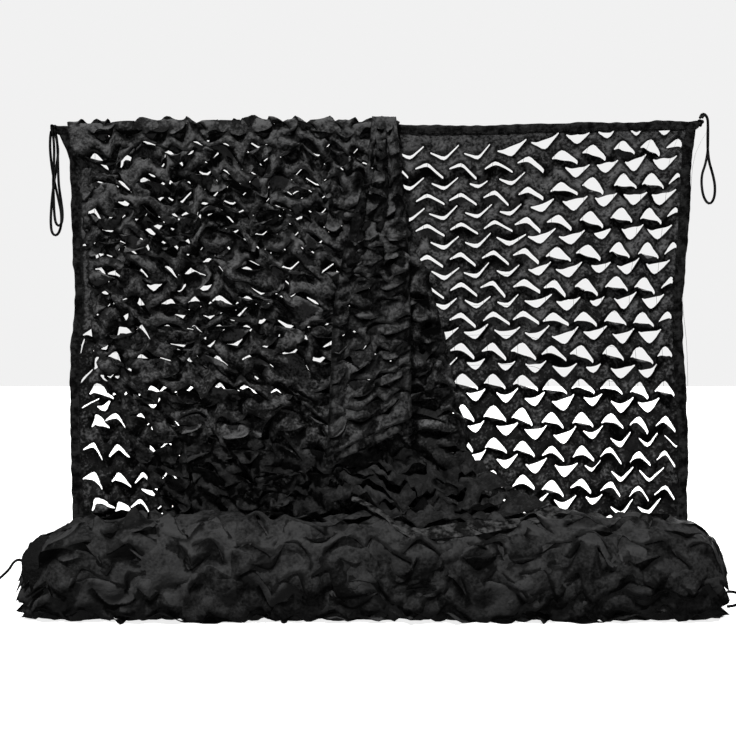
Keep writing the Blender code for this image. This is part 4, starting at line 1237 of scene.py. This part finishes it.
trial = slack_leaves(0.5, 0.0, 0.2, (0.07, 0.07), 1.0, 1, 1.0)
print("slack cloth of 0.5 by 0.2 m has", len(trial), "leaves")

# %% [markdown]
# ## The loose layer
#
# It hangs wild and full of ripples. Where its foot lies on the roll it has no leaves' slats left, but is
# crumpled along its length, so the ripples there are squeezed sideways. Its sides are cut edges.

# %% The loose layer
FRONT_WIDTH = 0.85
FRONT_PITCH = (0.069, 0.0715)
front_leaves = slack_leaves(
    FRONT_WIDTH, -FRONT_RETURN, FRONT_LENGTH - 0.012, FRONT_PITCH, 1.10, 11, 2.8, calm_from=0.80
)


def front_relief(across, down):
    calm, lying = rise(down, 0.01, 0.08), rise(down, 0.72, 0.10)
    slack = rippled(across, down, (0.0070, 0.11, 21), (0.0056, 0.039, 22))
    slack = slack + 0.0050 * (1 - lying) * slats(across, down, -FRONT_RETURN, FRONT_PITCH)
    crumpled = 0.0110 * ripple(across * 2.8, down, 0.085, 28)
    crumpled = crumpled + 0.0045 * crease(across * 2.6, down, 0.055, 27)
    slack = slack * (1 - 0.6 * lying) + lying * crumpled
    return 0.002 + calm * (0.007 + slack + 0.0042 * crease(across, down, 0.040, 23))


def front_shift(places):
    across, down = places.T
    calm = rise(down, 0.01, 0.10) * fall(down, 0.97, 0.10)
    calm = calm * smooth(across / 0.10) * fall(across, FRONT_WIDTH, 0.10)
    return slipped(places, calm, 0.16, (24, 25))


def front_teeth(point):
    """The loose layer's sides are cut edges, so they run in small waves."""
    at_side = point[0] in (0.0, FRONT_WIDTH)
    return np.array((0.004 * math.sin(point[1] * 190) if at_side else 0.0, 0.0))


HEM_START = FRONT_LENGTH - (FRONT_LENGTH - FRONT_HANG) * HEM / 0.16


def front_cloth(share, drop):
    """The loose layer's surface with its foot drawn up to where the hem tape starts."""
    drawn = FRONT_HANG + (drop - FRONT_HANG) * (HEM_START - FRONT_HANG) / (FRONT_LENGTH - FRONT_HANG)
    return front_surface(share, np.where(drop > FRONT_HANG, drawn, drop))


front_outline = outline_of(0.0, FRONT_WIDTH, -FRONT_RETURN, FRONT_LENGTH, 0.012, front_teeth)
front_net = hang_cloth(
    "leafy_front_net", front_outline, front_leaves, 0.010, 12, front_cloth, FRONT_WIDTH, front_relief,
    FRONT_CLOTH, 0.006, front_shift
)
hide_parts("front_net")

# %% [markdown]
# ## The gathered end
#
# The end of the net is gathered in the hand and hangs in front of the middle. Its pleats squeeze the
# leaves narrow, and no light shows through.

# %% The gathered end
FLAP_WIDTH = 0.18
flap_leaves = slack_leaves(FLAP_WIDTH, 0.03, FLAP_LEFT_DROP - 0.01, (0.058, 0.066), 0.85, 31, 1.9, 0.004)


def flap_relief(across, down):
    calm = rise(down, 0.01, 0.08)
    slack = rippled(across, down, (0.0060, 0.10, 32), (0.0030, 0.04, 35))
    return 0.002 + calm * (0.003 + slack + 0.0035 * crease(across, down, 0.05, 33))


flap_outline = outline_of(0.0, FLAP_WIDTH, -FLAP_RETURN, FLAP_LEFT_DROP, 0.010, no_teeth)
flap_net = hang_cloth(
    "leafy_centre_flap", flap_outline, flap_leaves, 0.009, 34, flap_cloth, FLAP_WIDTH, flap_relief,
    FLAP_CLOTH
)
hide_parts("centre_flap")

# %% [markdown]
# ## The roll
#
# The rest of the net lies rolled up. Only its outer turns show along its length, so two turns are made
# there. The outer one has its leaves raised. The one inside it is left uncut, so no light comes through.
# The roll's ends show the wound layers edge on, so each end gets a spiral of cloth.

# %% The roll's outer turns
ROLL_LEFT, ROLL_RIGHT = -0.790, 0.768
ROLL_LONG = ROLL_RIGHT - ROLL_LEFT
ROUND = 0.66
ROLL_PITCH = (0.090, 0.0715)


def round_roll(share, down):
    """The roll's skin in flat coordinates: along it, and down from its back over the top and front."""
    return roll_surface(ROLL_LEFT + ROLL_LONG * share, down / ROUND * 2 * np.pi)


def roll_teeth(point):
    at_end = point[0] in (0.0, ROLL_LONG)
    wave = 0.010 * math.sin(point[1] * 110) + 0.007 * math.sin(point[1] * 263 + point[0])
    return np.array((wave if at_end else 0.0, 0.0))


def rolled_turn(name, seed, lift, wildness):
    """One turn of the roll: a sheet round the whole skin, with leaves if it is wild, or plain."""
    leaves = slack_leaves(ROLL_LONG, 0.0, ROUND, ROLL_PITCH, 1.25, seed, wildness) if wildness else []
    outline = outline_of(0.0, ROLL_LONG, 0.0, ROUND, 0.014, roll_teeth)

    def relief(across, down):
        low_front = rise(down / ROUND, 0.48, 0.08) * fall(down / ROUND, 0.74, 0.08)
        slack = rippled(across, down, (0.0070, 0.13, seed + 2), (0.0026, 0.05, seed + 3))
        slack = slack + (0.0030 + 0.0050 * low_front) * slats(across, down, 0.0, ROLL_PITCH)
        slack = slack + 0.0035 * crease(across, down, 0.08, seed + 4)
        calm = smooth(np.minimum(across, ROLL_LONG - across) / 0.11)
        return lift * calm + slack * (0.20 + 0.80 * calm)

    def shift(places):
        across, down = places.T
        calm = smooth(np.minimum(across, ROLL_LONG - across) / 0.10)
        calm = calm * smooth(np.minimum(down, ROUND - down) / 0.08)
        return slipped(places, calm, 0.15, (seed + 5, seed + 6))

    return hang_cloth(
        name, outline, leaves, 0.011, seed + 1, round_roll, ROLL_LONG, relief, ROLLED_CLOTH, 0.003, shift
    )


roll_outer = rolled_turn("leafy_roll_outer_turn", 41, 0.006, 1.4)
roll_inner = rolled_turn("leafy_roll_second_turn", 51, 0.0, 0.0)
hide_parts("net_roll")

# %% [markdown]
# A wound end is one long strip of cloth in a spiral, seven points deep. It sinks in towards the roll's
# rounded rim, and it wobbles as the skin does.


# %% The roll's wound ends
WOUND_GAP = 0.0095
WOUND_DEEP = 0.055
WOUND_HALF = 0.104
WOUND_RINGS = 7
ROUND_STEPS = 44


def strip_faces(rings, sides, closed=True, first=0):
    """The faces between neighbouring rings of vertices; an open ring's last side has none."""
    faces = []
    for i in range(rings - 1):
        a = first + i * sides
        for k in range(sides if closed else sides - 1):
            n = (k + 1) % sides
            faces.append((a + k, a + n, a + sides + n, a + sides + k))
    return faces


def wound_end(name, side, seed):
    """A spiral of cloth that fills one end of the roll."""
    edge = ROLL_LEFT if side < 0 else ROLL_RIGHT
    turns = int(WOUND_HALF / WOUND_GAP) - 1
    turn = np.arange(turns * ROUND_STEPS + 1) * 2 * np.pi / ROUND_STEPS
    size = (0.012 + WOUND_GAP * turn / (2 * np.pi)) / WOUND_HALF
    outer = read_table(ROLL_PROFILE, "height", np.full(len(turn), edge - side * 0.075)) / 2
    # A layer stops where the roll's rounded end would leave no room for it.
    reach = np.clip(size * WOUND_HALF, 0.0, outer * 0.97)
    sunk = np.interp(reach, [0.05, 0.085, 0.100], [0.0, 0.018, 0.050])
    wobble = 1 + 0.03 * np.sin(3 * turn + 9.0 * edge) + 0.012 * np.sin(turn * 7.3 + seed)
    y = pressed(ROLL_Y + reach * wobble * 1.02 * np.cos(turn))
    z = np.maximum(FLOOR + outer - ROLL_SETTLE + reach * wobble * np.sin(turn), FLOOR + 0.001)
    rows = []
    for k in range(WOUND_RINGS):
        inward = WOUND_DEEP * k / (WOUND_RINGS - 1)
        ripple_out = 0.004 * ripple(turn * 0.05, reach, 0.09, seed) * (1 - k / (WOUND_RINGS - 1))
        rows.append(stack(edge - side * (sunk + inward * 0.9) + side * ripple_out, y, z))
    along = np.cumsum(np.concatenate([[0.0], norm(np.diff(rows[0], axis=0), axis=1)]))
    inwards = [np.full(len(turn), WOUND_DEEP * k / (WOUND_RINGS - 1)) for k in range(WOUND_RINGS)]
    flat = np.concatenate([np.stack([along, inward], axis=1) for inward in inwards])
    faces = strip_faces(WOUND_RINGS, len(turn), closed=False)
    piece = mesh_piece(name, np.concatenate(rows), faces, WOUND_CLOTH, flat)


wound_end("wound_left_end", -1, 61)
wound_end("wound_right_end", 1, 62)

# %% [markdown]
# ## The tapes
#
# A folded tape binds the edges, like the binding on a blanket. It has a round fold along its outer edge,
# puckers where the thread pulls it in, and two rows of stitches. A ring of nine points carried along the
# edge gives the folded section, and each stitch is a short bar, all joined in one mesh.


# %% A folded tape
TAPE_THICK = 0.0038


def tape_ring(inner, outer, normal, thick):
    """The section of a folded tape: two faces, a round fold at its outer edge, and an open inner edge."""
    wide = outer - inner
    shape = ((0.0, 0.38), (0.30, 0.50), (0.65, 0.50), (0.90, 0.44), (1.0, 0.0),
             (0.90, -0.44), (0.65, -0.50), (0.30, -0.50), (0.0, -0.38))
    return [inner + wide * a + normal * (thick * b) for a, b in shape]


def folded_tape(name, node, inner, outer, normal, thick, seed, finish=TAPE_FINISH):
    """A tape between two rows of points; gives how far along it each point is."""
    run = np.concatenate([[0.0], np.cumsum(norm(np.diff(inner, axis=0), axis=1))])
    pucker = 1 + rippled(run, run * 0, (0.30, 0.022, seed))[:, None]
    sway = rippled(run, run * 0, (0.0014, 0.11, seed + 1), (0.0010, 0.035, seed + 2))[:, None]
    slack = rippled(run, run * 0, (0.0016, 0.05, seed + 4))[:, None]
    wide = (outer - inner) / TAPE
    rings = np.stack(tape_ring(inner + slack * wide, outer + sway * wide, normal, thick * pucker), axis=1)
    count, sides = rings.shape[:2]
    faces = strip_faces(count, sides)
    faces.append(tuple(range(sides - 1, -1, -1)))
    faces.append(tuple((count - 1) * sides + k for k in range(sides)))
    tape = mesh_piece(name, rings.reshape(-1, 3), faces, finish)
    tape.data.set_sharp_from_angle(angle=math.radians(60))
    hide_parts(node)
    return run


def sewn(run, inner, outer, normal, at, face=1):
    """A row of stitches at a share of a tape's width, on its front face or its back one."""
    return run, inner + (outer - inner) * at + normal * face * TAPE_THICK * 0.5, normal * face


STITCH, STITCH_STEP = 0.0034, 0.0046
THREAD_WIDE, THREAD_HIGH, THREAD_ARCH = 0.00045, 0.0005, 0.0008


def stitches(name, rows):
    """Short bars of thread on both faces of a tape: rows of (run, points, facing) are sewn one by one."""
    vertices, faces = [], []
    for run, line, normal in rows:
        for start in np.arange(0.004, run[-1] - 0.006, STITCH_STEP):
            ends = []
            for at in (start, start + STITCH):
                ends.append(np.array([np.interp(at, run, line[:, k]) for k in range(3)]))
            up = np.array([np.interp(start, run, normal[:, k]) for k in range(3)])
            way = (ends[1] - ends[0]) / norm(ends[1] - ends[0])
            wide = np.cross(way, up) * THREAD_WIDE
            first = len(vertices)
            middle = (ends[0] + ends[1]) / 2 + up * THREAD_ARCH
            for place, size in ((ends[0], 0.5), (middle, 1.0), (ends[1], 0.5)):
                vertices += [place + wide * size, place + up * THREAD_HIGH * size, place - wide * size]
            for a in (first, first + 3):
                faces += [(a, a + 1, a + 4, a + 3), (a + 1, a + 2, a + 5, a + 4)]
    mesh_piece(name, vertices, faces, THREAD_FINISH)
    print(name, "has", len(faces) // 4, "stitches")


print("a tape's section has", len(tape_ring(*np.eye(3), TAPE)), "points")

# %% [markdown]
# The top tape follows the top line and narrows at its two ends. The side tapes follow the hung layer's
# sides, and the two hems lie on the slack layers' feet.

# %% Tapes round the hung layer
across = even(-0.776, 0.779, 0.006)
top = top_height(across)
narrow = np.clip(np.minimum(0.783 - across, across + 0.780) / 0.012, 0.3, 1.0)
top_low = stack(across, 0.0, top - (TOP_TAPE - 0.0003) * narrow)
top_high = stack(across, 0.0, top)
top_face = stack(np.zeros(len(across)), -1.0, 0.0)
top_run = folded_tape("tape_top", "binding_top", top_low, top_high, top_face, TAPE_THICK, 71)

rows = []
for side, share, name in ((-1, 0.0, "left"), (1, 1.0, "right")):
    drop = even(0.010, HUNG_FOOT, 0.006)
    shares = np.full(len(drop), share)
    edge, normal = hung_surface(shares, drop), facing(hung_surface, shares, drop)
    inner = edge + np.array((side * 0.0003, 0.0, 0.0))
    outer = edge + np.array((side * TAPE, 0.0, 0.0))
    run = folded_tape("tape_" + name, "binding_" + name, inner, outer, normal, TAPE_THICK * 0.8, 73 + side)
    rows += [sewn(run, inner, outer, normal, at, face) for face in (1, -1) for at in (0.15, 0.82)]
rows += [sewn(top_run, top_low, top_high, top_face, 0.18, face) for face in (1, -1)]
stitches("stitches_round_net", rows)

# %% Hems of the loose layer and the gathered end
flap_share = even(0.0, 1.0, 0.03)
flap_end = FLAP_LEFT_DROP + (FLAP_RIGHT_DROP - FLAP_LEFT_DROP) * flap_share
drape_share = even(0.66, 1.0, 0.01)
drape_start, drape_end = (np.full(len(drape_share), drop) for drop in (HEM_START, FRONT_LENGTH))
HEMS = (
    ("tape_flap", "flap_hem", flap_surface, flap_share, flap_end, flap_end + HEM, 81),
    ("tape_drape", "drape_hem", front_surface, drape_share, drape_start, drape_end, 83),
)
rows = []
for name, node, surface, share, start, end, seed in HEMS:
    inner, outer, face = surface(share, start), surface(share, end), facing(surface, share, start)
    run = folded_tape(name, node, inner, outer, face, TAPE_THICK, seed, LIT_HEM_FINISH)
    rows.append(sewn(run, inner, outer, face, 0.18))
stitches("stitches_on_hems", rows)

# %% [markdown]
# ## The string mesh
#
# Thin string runs behind the cloth in squares of about 72 mm, and the cloth is caught to it here and
# there. It shows only as a hair line across the widest openings. Each string is a thin tube with four
# sides, and all of them are joined in one mesh.

# %% String mesh
STRING = 0.0007


def string_tubes(name, lines):
    turn = math.pi / 2 * np.arange(4)
    ring = STRING / 2 * stack(np.cos(turn), np.sin(turn), np.sin(turn + 0.8))
    vertices, faces = [], []
    for line in lines:
        faces += strip_faces(len(line), 4, first=len(vertices))
        vertices += [point + corner for point in line for corner in ring]
    mesh_piece(name, vertices, faces, STRING_FINISH)
    print(name, "has", len(lines), "strings")


def behind_hung(across, drop):
    share = (across - read_table(HUNG_EDGES, "left", drop) - TAPE) / HUNG_WIDTH
    return hung_surface(share, drop) + np.array((0.0, 0.004, 0.0))


strings = []
for column in COLUMNS:
    drop = even(0.02, 1.12, 0.03)
    at = (column_across(column) + column_across(column + 1)) / 2 + 0.004 * np.sin(drop * 11 + column)
    strings.append(behind_hung(at, drop))
for row in range(0, ROWS - 1):
    at = even(-0.69, 0.70, 0.03)
    drop = read_table(ROW_FITS, "first", at) + read_table(ROW_FITS, "pitch", at) * (row + 0.05)
    strings.append(behind_hung(at, np.minimum(drop + 0.003 * np.sin(at * 23 + row), 1.15)))
string_tubes("string_mesh", strings)

# %% [markdown]
# ## Floor and light
#
# The floor is a plain pale sheet that glows a little, so it stays white beside black cloth. It sends no
# light back to the net. The room is dim, because on black cloth only light from one side tells the leaves
# apart: a sun lamp high in front on the left does that. A very weak one from the right fills its shadows,
# one from behind shows the back, and a long low panel lights the roll's front. The camera sees the room as
# white.

# %% Floor and light
ROOM_LIGHT, ROOM_SEEN = 0.06, 1.1
FLOOR_GLOW = 0.8
WHITE = (1.0, 1.0, 1.0, 1.0)
FAR = 30.0
scene = bpy.context.scene
scene.view_settings.view_transform = "Standard"
floor_mesh = bpy.data.meshes.new("floor")
corners = [(x * FAR, y * FAR, FLOOR) for x, y in ((-1, -1), (1, -1), (1, 1), (-1, 1))]
floor_mesh.from_pydata(corners, [], [(0, 1, 2, 3)])
floor = bpy.data.objects.new("floor", floor_mesh)
scene.collection.objects.link(floor)
floor_finish = Finish("pale_floor", 0.9)
floor_finish.put("Base Color", (0.93, 0.93, 0.93, 1.0))
floor_finish.put("Emission Color", WHITE)
floor_finish.put("Emission Strength", FLOOR_GLOW)
floor_mesh.materials.append(floor_finish.material)
floor.visible_diffuse = False
floor.visible_glossy = False

world = bpy.data.worlds.new("white_room")
world.use_nodes = True
room = world.node_tree
soft = room.nodes["Background"]
soft.inputs["Color"].default_value = WHITE
soft.inputs["Strength"].default_value = ROOM_LIGHT
white = room.nodes.new("ShaderNodeBackground")
white.inputs["Strength"].default_value = ROOM_SEEN
ray = room.nodes.new("ShaderNodeLightPath")
both = room.nodes.new("ShaderNodeMixShader")
room.links.new(ray.outputs["Is Camera Ray"], both.inputs["Fac"])
room.links.new(soft.outputs[0], both.inputs[1])
room.links.new(white.outputs[0], both.inputs[2])
room.links.new(both.outputs[0], room.nodes["World Output"].inputs["Surface"])
scene.world = world


def add_lamp(name, kind, towards, strength, place=(0.0, 0.0, 0.0), **settings):
    """A lamp; towards points from the net to the lamp."""
    lamp = bpy.data.lights.new(name, kind)
    lamp.energy = strength
    for key, value in settings.items():
        setattr(lamp, key, value)
    body = bpy.data.objects.new(name, lamp)
    body.location = place
    body.rotation_euler = Vector(towards).to_track_quat("Z", "Y").to_euler()
    scene.collection.objects.link(body)


add_lamp("key", "SUN", (-0.30, -0.56, 1.0), 3.7, angle=math.radians(8))
add_lamp("fill", "SUN", (0.50, -1.0, 0.05), 0.18, angle=math.radians(25))
add_lamp("behind", "SUN", (0.45, 1.0, 0.45), 1.6, angle=math.radians(20))
panel = {"shape": "RECTANGLE", "size": 2.2, "size_y": 0.25}
add_lamp("low_panel", "AREA", (0.0, -1.0, 0.05), 2.6, (-0.2, -1.3, -1.0), **panel)
print("lamps:", len(bpy.data.lights))
